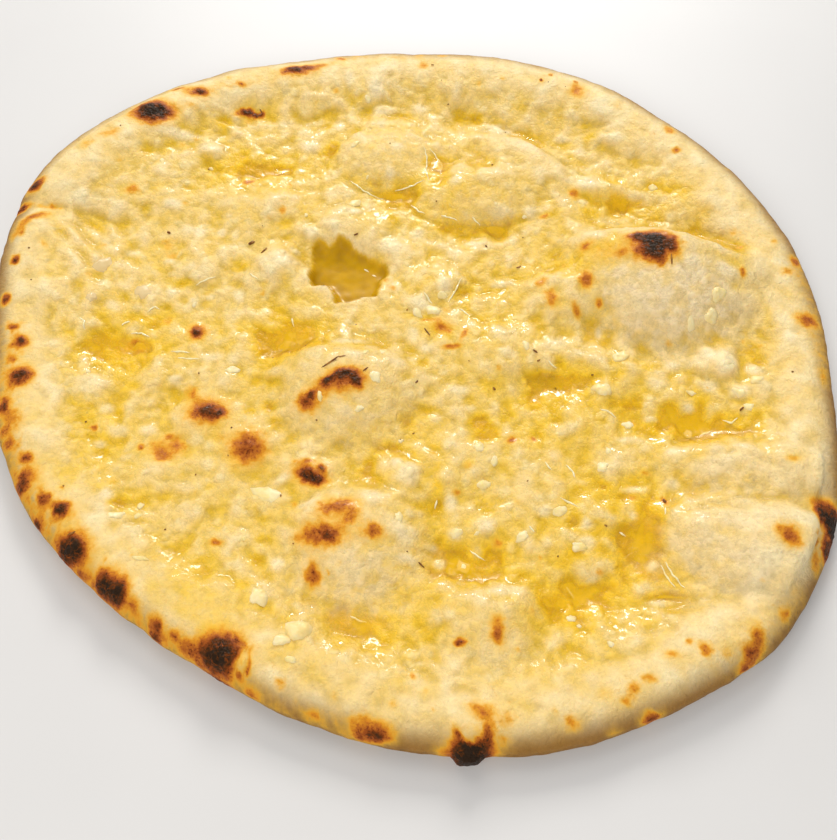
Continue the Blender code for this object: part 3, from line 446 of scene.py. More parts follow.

# Threads of butter where it meets the dough, coloured pale as painted highlights: the pixels that they run
# through.
PAINTED_GLINT_THREADS = (
    ((424, 147), (427, 160), (426, 173), (429, 182)), ((430, 150), (437, 160), (442, 170), (440, 176)),
    ((349, 181), (362, 189), (372, 196), (383, 201)), ((395, 192), (412, 186), (424, 181)),
    ((411, 205), (418, 212), (425, 215)), ((441, 216), (457, 220)), ((472, 217), (480, 226)),
    ((196, 286), (205, 282), (216, 278)), ((249, 274), (258, 280)), ((148, 313), (156, 307), (160, 310)),
    ((80, 319), (86, 324), (85, 332)), ((122, 326), (130, 321)), ((132, 336), (142, 334), (150, 338)),
    ((424, 294), (432, 304)), ((462, 279), (455, 292), (448, 304)), ((459, 309), (470, 316)),
    ((292, 318), (294, 328)), ((171, 352), (190, 353)), ((178, 358), (200, 360)), ((548, 363), (556, 370)),
    ((545, 463), (551, 471)), ((566, 464), (572, 472), (575, 478)), ((560, 498), (570, 502), (578, 507)),
    ((529, 527), (534, 533)), ((470, 551), (478, 558), (485, 561)), ((600, 409), (607, 412), (616, 419)),
    ((722, 421), (731, 424), (738, 417)), ((698, 436), (712, 433)), ((665, 508), (665, 515)),
    ((660, 566), (667, 578), (675, 588)), ((665, 563), (672, 574), (684, 589)), ((619, 533), (626, 537)),
    ((566, 588), (574, 600)), ((350, 616), (360, 622), (367, 623)), ((437, 500), (435, 510)),
    ((364, 269), (369, 272)), ((372, 275), (376, 277)),
)

# The burst blister: the pixels round its torn edge.
BURST = (
    (319, 240), (325, 244), (329, 252), (334, 247), (338, 236), (344, 237), (351, 244), (358, 256),
    (371, 262), (385, 267), (389, 276), (381, 284), (377, 295), (362, 297), (351, 302), (335, 303),
    (334, 294), (329, 287), (320, 285), (312, 286), (309, 277), (313, 263), (314, 250),
)
BURST_MIDDLE = (348, 268)
BURST_FLOOR = 2.7
BURST_LIP = 0.7
LIP_WIDTH = 1.1
BURST_MARGIN = 8.0

# Creases are followed this far to each side. A steepness under 1 makes mounds and pale lumps rounder.
# A pale lump rises by a share of its smaller width, up to a limit; a hollow has one depth.
CREASE_MARGIN = 12.0
MOUND_STEEPNESS = 0.7
PALE_STEEPNESS = 0.8
PALE_RISE = 0.09
PALE_LIMIT = 5.0
HOLLOW_DEPTH = 0.3

# Garlic that the photograph shows clearly: pixel, length, width, thickness and turn.
GARLIC = {
    "near block": (299, 629, 9, 7.6, 4.6, -12),
    "near block side": (281, 640, 5.4, 3.8, 3.2, 10),
    "near pale": (258, 595, 6.4, 6.4, 3, 40),
    "near crumb": (290, 658, 3.6, 2.6, 2.4, 0),
    "right wedge": (602, 388, 8, 6, 3.4, -20),
    "right wedge far": (621, 355, 6.6, 5, 3, 30),
    "side block": (719, 293, 5.4, 5.4, 3.4, 10),
    "side block near": (711, 316, 5.6, 4.6, 3.4, 35),
    "right bit": (739, 393, 5, 3.8, 2.8, -30),
    "right bit side": (757, 381, 4.8, 3.6, 2.8, 10),
    "left flake": (266, 491, 10, 5.4, 2, -22),
    "left grain": (115, 515, 5.6, 3, 2.6, 15),
    "left grain side": (138, 515, 3.4, 2.2, 2, 30),
    "left sliver": (139, 557, 6, 1.9, 1.8, -8),
    "blister grain": (320, 396, 1.9, 4.8, 2, 12),
    "middle bit": (523, 535, 5, 3.6, 2.8, 20),
    "middle bit far": (484, 483, 4.6, 4, 2.8, 0),
    "middle bit left": (456, 532, 4, 3.4, 2.6, 50),
    "middle grain": (359, 409, 3.6, 2, 1.6, 35),
    "right pale": (560, 512, 5, 3.4, 2.4, 20),
    "right pale near": (580, 548, 5.6, 3.8, 2.6, -10),
    "right pale far": (602, 470, 4.6, 3.2, 2.4, 40),
    "centre clear": (433, 312, 5, 4.6, 2.6, 0),
    "centre clear left": (442, 296, 4, 3.2, 2.2, 0),
}

# Thin round slices, half clear: pixel and width.
CLEAR_SLICES = {"left": (102, 262, 7.0), "left near": (142, 290, 6.6), "left low": (92, 299, 4.6)}

# Dark flecks and burnt strands: the two pixels that one runs between, and its width.
FLECKS = {
    "long strand": (320, 369, 340, 357, 0.55),
    "long strand end": (338, 357, 346, 356, 0.4),
    "largest strand": (671, 254, 672, 265, 0.5),
    "left a": (249, 246, 255, 243, 0.9),
    "left b": (262, 254, 267, 250, 0.7),
    "left c": (168, 234, 171, 236, 0.8),
    "burst": (354, 236, 358, 233, 0.6),
    "centre a": (517, 268, 521, 266, 0.6),
    "centre b": (485, 246, 487, 248, 0.6),
    "centre c": (533, 351, 537, 354, 0.6),
    "centre d": (537, 362, 540, 361, 0.6),
    "centre e": (493, 388, 495, 391, 0.7),
    "centre f": (415, 384, 418, 382, 0.5),
    "arc right": (363, 371, 368, 367, 0.5),
    "right a": (663, 500, 665, 504, 0.8),
    "right b": (739, 412, 743, 409, 0.7),
    "far curl": (257, 118, 262, 113, 0.8),
    "far curl tip": (262, 113, 260, 109, 0.6),
    "flake tip": (320, 468, 324, 471, 0.8),
    "left rim curl": (68, 536, 76, 532, 0.5),
    "left grain": (86, 423, 87, 423, 0.5),
    "near left grain": (165, 531, 167, 531, 0.5),
    "left speck": (63, 486, 64, 486, 0.5),
    "near middle": (418, 562, 424, 568, 0.5),
    "far mid": (492, 165, 493, 165, 0.6),
    "far mid low": (436, 202, 437, 202, 0.5),
    "burst side": (424, 330, 430, 338, 0.5),
}

# What is drawn at random. Bubbles: how many, half-lengths, heights as a share of them, inset from
# the edge, steepness and raggedness. Flakes: length, seed, and where in the noise they begin and end;
# then their heights, and how much of them a usual place has. Wrinkles and patches: length and seed.
SEED = 11
LUMPS = (2300, (1.4, 4.2), (0.10, 0.17), 15.0, 0.9, 0.25)
LARGE_BUBBLES = (90, (4.5, 10.0), (0.06, 0.13), 12.0, 0.7, 0.16)
SMALL_BUBBLES = (200, (1.4, 3.6), (0.08, 0.18), 10.0, 0.7, 0.16)
LUMP_PATCHES = (15.0, 47)
FLAKES = ((15.0, 61, 0.0, 0.14), (8.5, 64, 0.0, 0.18), (4.6, 67, 0.08, 0.3))
FLAKE_HEIGHTS = (0.44, 0.34, 0.2)
FLAKES_USUAL = 1.35
WRINKLES = (7.0, 51)
WRINKLE_PATCHES = (16.0, 52)
WRINKLE_WIDTH = 0.11
WRINKLE_HEIGHT = 0.2
FRECKLES = 90
FRECKLE_INSET = 2.0
FRECKLE_SIZES = (1.4, 3.4)
FRECKLE_HEATS = (0.16, 0.2, 0.24, 0.3, 0.38)
CHIPS = 60
CHIP_GAP = 0.45
CHIP_INSET = 22.0
CHIP_LENGTHS = (1.8, 2.2, 2.8, 3.2, 4.0, 4.8)
LOOSE_FLECKS = 40
LOOSE_FLECK_INSET = 10.0
LOOSE_FLECK_SIZES = (0.25, 0.5)

# A chip of garlic: points round it, then each ring's share of its half-width and its level as a
# share of the thickness, from the middle of the top to the middle of the bottom.
CHIP_STEPS = 18
CHIP_RINGS = ((0.0, 1.0), (0.4, 0.94), (0.68, 0.72), (0.88, 0.36), (1.0, -0.1), (1.02, -0.5), (0.0, -0.8))
CHIP_SHARPNESS = 9
CHIP_RISE = 0.3

# A thread of butter, coloured as a painted highlight: its sides, its steps and its greatest width.
GLINT_THREAD_SIDES = 8
GLINT_THREAD_STEP = 0.35
GLINT_THREAD_WIDTH = 0.6

# The butter's film: the dough's height, blurred and sunk, then raised in the pools and where the
# dough is steeped, and drawn up where it meets dough. It ends this far inside the edge, and this far
# outside the burst blister, whose floor has none.
FILM_BLUR = 3.4
FILM_SINK = 0.85
POOL_RISE = 1.0
STEEPED_RISE = 0.35
MENISCUS_RISE = 0.24
MENISCUS_REACH = 0.14
FILM_INSET = 14.0
BURST_DRY = 1.5

# The rim ends between these insets.
RIM_INSETS = (12.0, 26.0)

# Layers of noise, each with its height, length and seed: how far the rim reaches, ovals' ragged
# edges, the dough where it is rough and where it is smooth, its grain, the burst blister's torn edge,
# lip and floor, the crust's mottled colour, the rounded edge and the burnt spots of the underside.
RIM_WANDER = ((4.0, 34.0, 3), (2.0, 12.0, 4))
RAGGED = ((1.0, 6.0, 1), (0.5, 2.6, 2))
WARP_X, WARP_Y = ((2.2, 11.0, 44),), ((2.2, 11.0, 45),)
ROUGH_SWELLS = ((0.5, 17.0, 30),)
CRAGS = ((0.36, 8.5, 31), (0.13, 4.0, 32))
SMOOTH_SWELLS = ((0.4, 14.0, 34), (0.25, 5.5, 35))
GRAIN = ((0.05, 1.9, 36), (0.12, 3.4, 37))
TORN_EDGE = ((0.5, 3.0, 41), (0.3, 1.6, 42))
LIP_BUMPS = ((0.8, 4.0, 48),)
BURST_BUMPS = ((0.4, 8.0, 43), (0.15, 3.0, 46))
MOTTLE = ((0.14, 5.0, 63), (0.06, 2.8, 66), (0.1, 9.0, 68))
EDGE_SWELLS = ((0.3, 9.0, 1), (0.22, 4.0, 2), (0.08, 1.8, 3))
UNDER_SPOTS = ((1.0, 9.0, 5), (0.6, 3.5, 6))

# Colours by how golden the crust is, how burnt it is, and how deep the butter is.
CRUST_COLOURS = (
    (0.00, (0.95, 0.79, 0.45)),
    (0.20, (0.91, 0.670, 0.285)),
    (0.42, (0.88, 0.600, 0.150)),
    (0.66, (0.90, 0.57, 0.050)),
    (0.84, (0.90, 0.54, 0.022)),
    (0.93, (0.87, 0.51, 0.014)),
    (1.00, (0.78, 0.42, 0.012)),
)
BURN_COLOURS = (
    (0.00, (0.86, 0.51, 0.070)),
    (0.10, (0.81, 0.42, 0.032)),
    (0.20, (0.69, 0.28, 0.020)),
    (0.31, (0.50, 0.155, 0.016)),
    (0.43, (0.35, 0.085, 0.013)),
    (0.60, (0.21, 0.046, 0.006)),
    (0.78, (0.095, 0.029, 0.006)),
    (1.00, (0.030, 0.016, 0.008)),
)
BUTTER_COLOURS = ((0.0, (0.98, 0.65, 0.030)), (0.5, (0.97, 0.61, 0.010)), (1.0, (0.93, 0.55, 0.005)))

# Lights: place in metres, size, power, colour, and whether the bread mirrors it or is lit by it.
LIGHTS = {
    "key": ((0.16, 1.36, 0.88), (0.64, 0.48), 17.0, (1.0, 0.98, 0.94), False),
    "sparkle": ((0.05, 0.92, 0.44), (0.6, 0.14), 10.0, (1.0, 0.98, 0.95), True),
    "above": ((-0.35, 0.84, 1.4), (1.1, 1.1), 6.4, (1.0, 0.98, 0.95), False),
    "front": ((-0.3, -0.8, 0.8), (0.9, 0.9), 7.8, (1.0, 0.97, 0.93), False),
}
SKY_COLOUR = (0.97, 0.98, 1.0, 1.0)
SKY_STRENGTH = 0.36
FLOOR_HALF_SIDE = 3.0


# --------------------------------------------------------------------------- numbers and noise
def smooth_step(low, high, value):
    """0 below low, 1 above high and a smooth rise between them."""
    share = np.clip((value - low) / (high - low), 0.0, 1.0)
    return share * share * (3.0 - 2.0 * share)


def plan_noise(x, y, length, seed):
    """Gradient noise on arrays, about -1 to 1, whose bumps are about as long as length."""
    draw = np.random.default_rng(seed)
    turns, table = draw.uniform(0.0, math.tau, 256), draw.permutation(256)
    column, row = np.floor(x / length).astype(int), np.floor(y / length).astype(int)
    across, along = x / length - column, y / length - row

    def corner(right, up):
        turn = turns[table[(table[(column + right) % 256] + row + up) % 256]]
        return np.cos(turn) * (across - right) + np.sin(turn) * (along - up)

    ease_x, ease_y = (t * t * t * (t * (6.0 * t - 15.0) + 10.0) for t in (across, along))
    low = corner(0, 0) + ease_x * (corner(1, 0) - corner(0, 0))
    high = corner(0, 1) + ease_x * (corner(1, 1) - corner(0, 1))
    return 1.5 * (low + ease_y * (high - low))


def billow(x, y, length, seed):
    """Rounded lumps with sharp valleys between them."""
    return 2.0 * np.abs(plan_noise(x, y, length, seed)) - 0.6


def space_noise(points, length, seed):
    """Noise at points in space, for what isn't a plan."""
    shift = Vector((seed * 7.3, seed * 3.1, seed * 5.7))
    return np.array([noise.noise(Vector(point) / length + shift) for point in points])


def dome(gap, steepness=1.0):
    """A rounded bump over an oval: 1 in its middle, and 0 from its edge outwards."""
    return np.clip(1.0 - gap * gap, 0.0, None) ** steepness


def bell(offset, width):
    """1 where the offset is 0, and less on both sides of it."""
    return np.exp(-((offset / width) ** 2))


def swells(noise_at, layers, start=0.0):
    """A start and layers of noise on it, each with its height, length and seed."""
    return sum((height * noise_at(length, seed) for height, length, seed in layers), start)


def oval_reach(x, y, oval):
    """How far points are from an oval's middle: 1 is its edge."""
    middle_x, middle_y, length, width, turn = oval
    turn = math.radians(turn)
    along = (x - middle_x) * math.cos(turn) + (y - middle_y) * math.sin(turn)
    across = (y - middle_y) * math.cos(turn) - (x - middle_x) * math.sin(turn)
    return np.hypot(along / (0.5 * length), across / (0.5 * width))


def line_distance(points, line):
    """The distance from each point to a line of straight pieces, in any number of dimensions."""
    nearest = np.full(len(points), np.inf)
    for start, end in zip(line, line[1:]):
        run = end - start
        share = np.clip((points - start) @ run / (run @ run), 0.0, 1.0)
        nearest = np.minimum(nearest, np.linalg.norm(points - start - share[:, None] * run, axis=1))
    return nearest


# --------------------------------------------------------------------------- camera and frame
def camera_matrix():
    """The camera's place and turn, in millimetres."""
    elevation, roll = math.radians(CAMERA_ELEVATION), math.radians(CAMERA_ROLL)
    back = Vector((0.0, -math.cos(elevation), math.sin(elevation)))
    right = Vector((1.0, 0.0, 0.0))
    up = back.cross(right)
    rolled_right = math.cos(roll) * right + math.sin(roll) * up
    rolled_up = math.cos(roll) * up - math.sin(roll) * right
    matrix = Matrix((rolled_right, rolled_up, back)).transposed().to_4x4()
    matrix.translation = Vector((*CAMERA_TARGET, 0.0)) + back * CAMERA_DISTANCE
    return matrix


class Bread:
    """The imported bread: what a ray meets, and its outline in plan."""

    def __init__(self, node):
        corners = [vert.co / MM for vert in node.data.vertices]
        self.tree = BVHTree.FromPolygons(corners, [face.vertices for face in node.data.polygons])
        self.camera = camera_matrix()
        self.focal = 0.5 * PHOTO_HEIGHT / math.tan(math.radians(FIELD_OF_VIEW) / 2)
        self.angles = np.arange(RIM_ANGLES) * math.tau / RIM_ANGLES
        self.radii = self.smooth_round(np.array([self.outline(angle) for angle in self.angles]))

    def outline(self, angle):
        """How far out the bread's rounded edge reaches."""
        inward = -Vector((math.cos(angle), math.sin(angle), 0.0))
        starts = [Vector((0.0, 0.0, height)) - inward * OUTSIDE for height in EDGE_HEIGHTS]
        hits = [self.tree.ray_cast(start, inward)[0] for start in starts]
        return max(math.hypot(hit.x, hit.y) for hit in hits)

    @staticmethod
    def smooth_round(values):
        """Blurs values that stand at even angles round the rim."""
        wave = np.fft.rfftfreq(len(values), 1.0 / len(values))
        keep = np.exp(-0.5 * (wave * EDGE_BLUR / MEAN_RADIUS) ** 2)
        return np.fft.irfft(np.fft.rfft(values, axis=0).T * keep, len(values)).T

    def radius(self, angle):
        return np.interp(angle % math.tau, self.angles, self.radii, period=math.tau)

    def random_place(self, draw, inset):
        """A random place in plan, at least that far inside the edge."""
        angle, share = draw.uniform(0.0, math.tau), math.sqrt(draw.random())
        radius = share * (float(self.radius(angle)) - inset)
        return radius * math.cos(angle), radius * math.sin(angle)

    def face_height(self, x, y, side):
        """The height of the upper face, side 1, or the lower one, side -1."""
        hit = self.tree.ray_cast(Vector((x, y, side * ABOVE)), Vector((0.0, 0.0, -side)))[0]
        return hit.z if hit else 0.0

    def seen(self, pixel):
        """The point that a pixel shows, and the crust's direction there. Off the bread, the
        nearest pixel towards its middle counts."""
        eye = self.camera.translation
        pixel, middle = Vector(pixel), Vector(MIDDLE_PIXEL)
        step = (middle - pixel).normalized()
        while True:
            ray = Vector((pixel.x - PHOTO_WIDTH / 2, PHOTO_HEIGHT / 2 - pixel.y, -self.focal))
            point, normal, *_ = self.tree.ray_cast(eye, (self.camera.to_3x3() @ ray).normalized())
            if point:
                return point, normal if normal.z > 0 else -normal
            pixel = pixel + step

    def plan(self, pixel):
        point, _ = self.seen(pixel)
        return point.x, point.y


# --------------------------------------------------------------------------- the plan's fields
class Plan:
    """Fields over a grid of square cells, from which the skin and the butter are shaped."""

    def __init__(self, bread):
        self.bread = bread
        xs = np.arange(-PLAN_X, PLAN_X + CELL / 2, CELL)
        ys = np.arange(-PLAN_Y, PLAN_Y + CELL / 2, CELL)
        self.x, self.y = np.meshgrid(xs, ys)
        self.inset = bread.radius(np.arctan2(self.y, self.x)) - np.hypot(self.x, self.y)
        self.ragged = swells(self.noise, RAGGED)

    def noise(self, length, seed):
        return plan_noise(self.x, self.y, length, seed)

    def blur(self, field, spread):
        """A Gaussian blur, with the field carried on level past the grid's edges."""
        pad = int(3 * spread / CELL)
        wide = np.pad(field, pad, mode="edge")
        rows, columns = (np.fft.fftfreq(count, CELL) for count in wide.shape)
        keep = np.exp(-2.0 * (math.pi * spread) ** 2 * (rows[:, None] ** 2 + columns[None, :] ** 2))
        return np.fft.ifft2(np.fft.fft2(wide) * keep).real[pad:-pad, pad:-pad]

    @staticmethod
    def between(field, column, row):
        """A grid's values between its points, by column and row."""
        left, low = (np.minimum(place.astype(int), size - 2)
                     for place, size in ((column, field.shape[1]), (row, field.shape[0])))
        right, up = column - left, row - low
        near = field[low, left] * (1 - right) + field[low, left + 1] * right
        far = field[low + 1, left] * (1 - right) + field[low + 1, left + 1] * right
        return near * (1 - up) + far * up

    def at(self, field, x, y):
        """The field's value at places in plan."""
        column = np.clip((x + PLAN_X) / CELL, 0, field.shape[1] - 1.001)
        row = np.clip((y + PLAN_Y) / CELL, 0, field.shape[0] - 1.001)
        return self.between(field, column, row)

    def window(self, x, y, reach):
        """The cells round a point."""
        rows = [max(0, int((y + side + PLAN_Y) / CELL)) for side in (-reach, reach)]
        columns = [max(0, int((x + side + PLAN_X) / CELL)) for side in (-reach, reach)]
        return slice(rows[0], rows[1] + 1), slice(columns[0], columns[1] + 1)

    def sampled(self, side):
        """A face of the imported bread, carried on level past its rounded edge, then blurred."""
        x, y, inset = (field[::SAMPLE_STEP, ::SAMPLE_STEP] for field in (self.x, self.y, self.inset))
        share = 1.0 - np.clip(NOSE_INSET + 0.4 - inset, 0.0, None) / np.maximum(np.hypot(x, y), 1.0)
        places = zip((x * share).flat, (y * share).flat)
        coarse = np.array([self.bread.face_height(*place, side) for place in places])
        rows, columns = (np.arange(count) / SAMPLE_STEP for count in self.x.shape)
        whole = self.between(coarse.reshape(x.shape), columns[None, :], rows[:, None])
        return self.blur(whole, BASE_BLUR)

    def reach(self, pixel, length, width, turn, ragged=0.0, seed=0):
        """How far each cell is from an oval about a pixel, with an uneven edge."""
        gap = oval_reach(self.x, self.y, (*self.bread.plan(pixel), length, width, turn))
        return gap + ragged * np.roll(self.ragged, (37 * seed, 53 * seed), axis=(0, 1))

    def covers(self, table, seed, ragged, low, high):
        """Each oval's share of every cell, 1 in its middle and 0 outside it, and the last number
        of its row."""
        for number, (*pixel, length, width, turn, last) in enumerate(table.values()):
            gap = self.reach(pixel, length, width, turn, ragged, seed + number)
            yield 1.0 - smooth_step(low, high, gap), last

    def strongest(self, *ovals):
        return np.maximum.reduce([strength * share for share, strength in self.covers(*ovals)])

    def near_line(self, pixels, margin=CREASE_MARGIN):
        """Each cell's distance to a line through pixels, the cells near it, and the line in plan."""
        line = [np.array(self.bread.plan(pixel)) for pixel in pixels]
        low, high = np.min(line, axis=0) - margin, np.max(line, axis=0) + margin
        near = (self.x > low[0]) & (self.x < high[0]) & (self.y > low[1]) & (self.y < high[1])
        distance = np.full(self.x.shape, np.inf)
        distance[near] = line_distance(np.stack((self.x[near], self.y[near]), axis=1), line)
        return distance, near, line

    def inside_depth(self, pixels):
        """How far each cell is inside a ring of pixels, less than 0 outside it."""
        distance, near, ring = self.near_line((*pixels, pixels[0]), BURST_MARGIN)
        x, y = self.x[near], self.y[near]
        crossed = np.zeros(len(x), bool)
        for start, end in zip(ring, ring[1:]):
            between = (start[1] > y) != (end[1] > y)
            reach = start[0] + (end[0] - start[0]) * (y - start[1]) / (end[1] - start[1] + 1e-9)
            crossed ^= between & (x < reach)
        depth = np.full(self.x.shape, -BURST_MARGIN)
        depth[near] = distance[near] * np.where(crossed, 1.0, -1.0)
        return depth


def small_blisters(plan, draw, count, sizes, rises, inset, steepness, ragged):
    """Little bubbles in the dough: where two meet, the higher one shows."""
    height = np.zeros_like(plan.x)
    for _ in range(count):
        x, y = plan.bread.random_place(draw, inset)
        size = draw.uniform(*sizes)
        width = size * draw.uniform(0.55, 1.0)
        turn = draw.uniform(0.0, 180.0)
        rise = size * draw.uniform(*rises)
        near = plan.window(x, y, 1.4 * size)
        gap = oval_reach(plan.x[near], plan.y[near], (x, y, 2 * size, 2 * width, turn))
        gap += ragged * plan.ragged[near]
        height[near] = np.maximum(height[near], rise * dome(gap, steepness))
    return height


def flakes(plan, length, seed, low, high):
    """Flat-topped flakes with ragged edges: 0 off them and 1 on them."""
    x = plan.x + 0.3 * length * plan.noise(0.75 * length, seed + 1)
    y = plan.y + 0.3 * length * plan.noise(0.75 * length, seed + 2)
    return smooth_step(low, high, plan_noise(x, y, length, seed))


def shape_plan(bread):
    """Works out the bread's upper face, the butter's surface and what colours them."""
    plan = Plan(bread)
    draw = random.Random(SEED)
    base = plan.sampled(1)
    plan.under = np.maximum(plan.sampled(-1), 0.0)

    # Where the dough is inside the rim, stretched smooth, rough, and steeped in butter.
    inner = smooth_step(*RIM_INSETS, swells(plan.noise, RIM_WANDER, plan.inset))
    smooth, grey = np.zeros_like(base), np.zeros_like(base)
    for skin, greyness in plan.covers(SMOOTH, 0, 0.22, 0.35, 1.1):
        smooth, grey = np.maximum(smooth, skin), np.maximum(grey, greyness * skin)
    rough = (0.5 + 0.5 * inner) * (1.0 - 0.72 * smooth)
    steeped = plan.strongest(STEEPED, 11, 0.3, 0.15, 1.2)

    # Lumps, flakes, folds, bubbles, fine grain and wavy wrinkles.
    lumps = small_blisters(plan, draw, *LUMPS)
    lumpy = smooth_step(-0.6, 0.3, plan.noise(*LUMP_PATCHES))
    lumps *= (0.2 + 0.8 * steeped) * (1.0 - 0.7 * smooth) * lumpy
    flaky = [flakes(plan, *flake) for flake in FLAKES]
    warped = swells(plan.noise, WARP_X, plan.x), swells(plan.noise, WARP_Y, plan.y)
    crags = swells(partial(billow, *warped), CRAGS, swells(plan.noise, ROUGH_SWELLS))
    height = base + rough * sum((rise * layer for rise, layer in zip(FLAKE_HEIGHTS, flaky)), crags)
    height += small_blisters(plan, draw, *LARGE_BUBBLES) * (0.15 + 0.85 * rough)
    height += small_blisters(plan, draw, *SMALL_BUBBLES) * (0.12 + 0.88 * rough)
    height += lumps + (1.0 - rough) * swells(plan.noise, SMOOTH_SWELLS)
    height += swells(plan.noise, GRAIN)
    wavy = bell(plan_noise(*warped, *WRINKLES), WRINKLE_WIDTH)
    wavy *= smooth_step(0.0, 0.3, plan.noise(*WRINKLE_PATCHES)) * (0.3 + 0.7 * inner)
    height += WRINKLE_HEIGHT * wavy * (1.0 - 0.7 * smooth)

    # Mounds, creases, pale lumps and hollows by place.
    for *pixel, length, width, turn, rise in MOUNDS.values():
        gap = plan.reach(pixel, length, width, turn, 0.1, 5)
        height += rise * dome(gap, MOUND_STEEPNESS)
    for pixels, width, depth in CREASES.values():
        wander = plan.near_line(pixels)[0] + 0.5 * plan.noise(5.0, 38)
        height -= depth * bell(wander, width)
    paled, amber = np.zeros_like(base), np.zeros_like(base)
    for found, spots in ((paled, PALE_LUMPS), (amber, AMBER_HOLLOWS)):
        for number, (*pixel, length, width, turn) in enumerate(sum(spots.values(), ())):
            gap = plan.reach(pixel, length, width, turn, 0.22, 91 + number)
            found[:] = np.maximum(found, 1.0 - smooth_step(0.35, 1.2, gap))
            if spots is PALE_LUMPS:
                height += PALE_RISE * min(length, width, PALE_LIMIT) * dome(gap, PALE_STEEPNESS)
            else:
                height -= HOLLOW_DEPTH * dome(gap)

    # The burst blister: its torn lip, its floor, and a slope up to the lip at the far side.
    torn = swells(plan.noise, TORN_EDGE, plan.inside_depth(BURST))
    far_side = smooth_step(-5.0, 6.0, plan.y - plan.bread.plan(BURST_MIDDLE)[1])
    height += BURST_LIP * bell(torn + LIP_WIDTH, LIP_WIDTH) * swells(plan.noise, LIP_BUMPS, 1.0)
    inside = smooth_step(-0.4, 2.2 + 5.0 * far_side, torn)
    floor = swells(plan.noise, BURST_BUMPS, BURST_FLOOR)
    height += (floor - height) * inside
    plan.height = height
    plan.cave = cave = smooth_step(-0.5, 0.6, torn)

    # The butter's surface: the dough's own, blurred, raised in the pools and drawn up at its edge.
    pooled = plan.strongest(POOLS, 31, 0.25, 0.1, 1.3)
    film = plan.blur(height, FILM_BLUR) - FILM_SINK + POOL_RISE * pooled + STEEPED_RISE * steeped * inner
    film = np.where(torn > -BURST_DRY, height - 1.0, film)
    plan.butter = plan.blur(film, 0.7)
    meniscus = MENISCUS_RISE * np.exp(-np.abs(plan.butter - height) / MENISCUS_REACH)
    plan.butter = plan.blur(plan.butter + meniscus, 0.35)
    plan.depth = plan.butter - height

    # What the crust's colour follows.
    yellowed = sum(strength * share for share, strength in plan.covers(YELLOWED, 71, 0.2, 0.2, 1.2))
    spotty = (1.0 - 0.6 * inner) * (0.5 + 0.7 * smooth_step(-10.0, -80.0, plan.y))
    # The crust is yellower and darker in hollows and crevices: partly butter gathered there, partly painted
    # shade.
    hollow = plan.blur(height, 2.6) - height
    crevice = np.clip((plan.blur(height, 1.1) - height) / 0.12, 0.0, 1.0)
    crest = sum(flaky) - FLAKES_USUAL
    # In gold, the wavy wrinkles are paler: a painted highlight along their ridges.
    gold = (
        0.165 + inner * (0.18 + 0.35 * steeped) + 0.08 * plan.noise(10.0, 60)
        + spotty * swells(plan.noise, MOTTLE)
        + (0.11 + 0.1 * inner) * np.clip(hollow / 0.6, -1.0, 1.0) - 0.05 * crest
        - 0.2 * np.clip(lumps / 0.45, 0.0, 1.0) - 0.12 * wavy + 0.12 * crevice * (0.3 + 0.7 * inner)
        + 0.34 * smooth_step(-0.4, 0.9, plan.depth) * (0.3 + 0.7 * inner) + yellowed
        + 0.46 * amber - 0.12 * paled
    )
    plan.fields = {
        "gold": np.clip(plan.blur(gold, 1.0), 0.0, 1.0) * (1.0 - cave) + cave,
        "wet": np.clip(inner * (0.35 + 0.55 * steeped) * (1.0 - 0.4 * smooth) + cave, 0.0, 1.0),
        "grey": grey,
        "pale": np.clip(paled - amber, 0.0, 1.0) * (1.0 - cave),
        # Painted shade: how much the crust is darkened in hollows and crevices.
        "hollow": np.clip(hollow / 0.7 + 0.35 * crevice, 0.0, 1.0) * (1.0 - cave),
        "cave": cave,
        "rim": 1.0 - inner,
    }

    # What the small pieces lie on, and where the random garlic may lie.
    plan.ground = np.maximum(height, plan.butter - 0.5)
    plan.flat_ground = plan.blur(plan.ground, 1.6)
    plan.crumbs = np.clip(plan.fields["wet"] - 0.1, 0.02, 1.0) * (plan.inset > CHIP_INSET) * (cave < 0.01)
    return plan


# --------------------------------------------------------------------------- meshes
def stitch(faces, first, second):
    """Fills the band between two closed rings of point numbers with triangles."""
    first_steps = len(first) if len(first) > 1 else 0
    second_steps = len(second) if len(second) > 1 else 0
    i = j = 0
    while i < first_steps or j < second_steps:
        a, b = first[i % len(first)], second[j % len(second)]
        first_next = (i + 1) / first_steps if i < first_steps else math.inf
        second_next = (j + 1) / second_steps if j < second_steps else math.inf
        if second_next <= first_next:
            j += 1
            faces.append((a, b, second[j % len(second)]))
        else:
            i += 1
            faces.append((a, b, first[i % len(first)]))


def surface(rings, inward=False):
    """The points of rings, the faces between each ring and the next, and each ring's numbers."""
    ends = np.cumsum([0, *map(len, rings)]).tolist()
    numbers = [list(range(start, end)) for start, end in zip(ends, ends[1:])]
    faces = []
    for pair in zip(numbers, numbers[1:]):
        stitch(faces, *(pair[::-1] if inward else pair))
    return np.concatenate(rings), faces, numbers


def new_mesh_object(name, points, faces, fields=None):
    """An object with smooth faces, from points in millimetres, with a value of each field a point."""
    mesh = bpy.data.meshes.new(name)
    mesh.from_pydata((np.asarray(points) * MM).tolist(), [], faces)
    mesh.validate()
    mesh.shade_smooth()
    for field, values in (fields or {}).items():
        attribute = mesh.attributes.new(field, "FLOAT", "POINT")
        attribute.data.foreach_set("value", np.asarray(values, np.float32))
    made = bpy.data.objects.new(name, mesh)
    bpy.context.scene.collection.objects.link(made)
    return made


def point_normals(points, faces):
    """The surface's direction at each point."""
    faces = np.asarray(faces)
    a, b, c = (points[faces[:, corner]] for corner in range(3))
    across = np.cross(b - a, c - a)
    normals = np.zeros_like(points)
    for corner in range(3):
        np.add.at(normals, faces[:, corner], across)
    return normals / np.maximum(np.linalg.norm(normals, axis=1, keepdims=True), 1e-9)


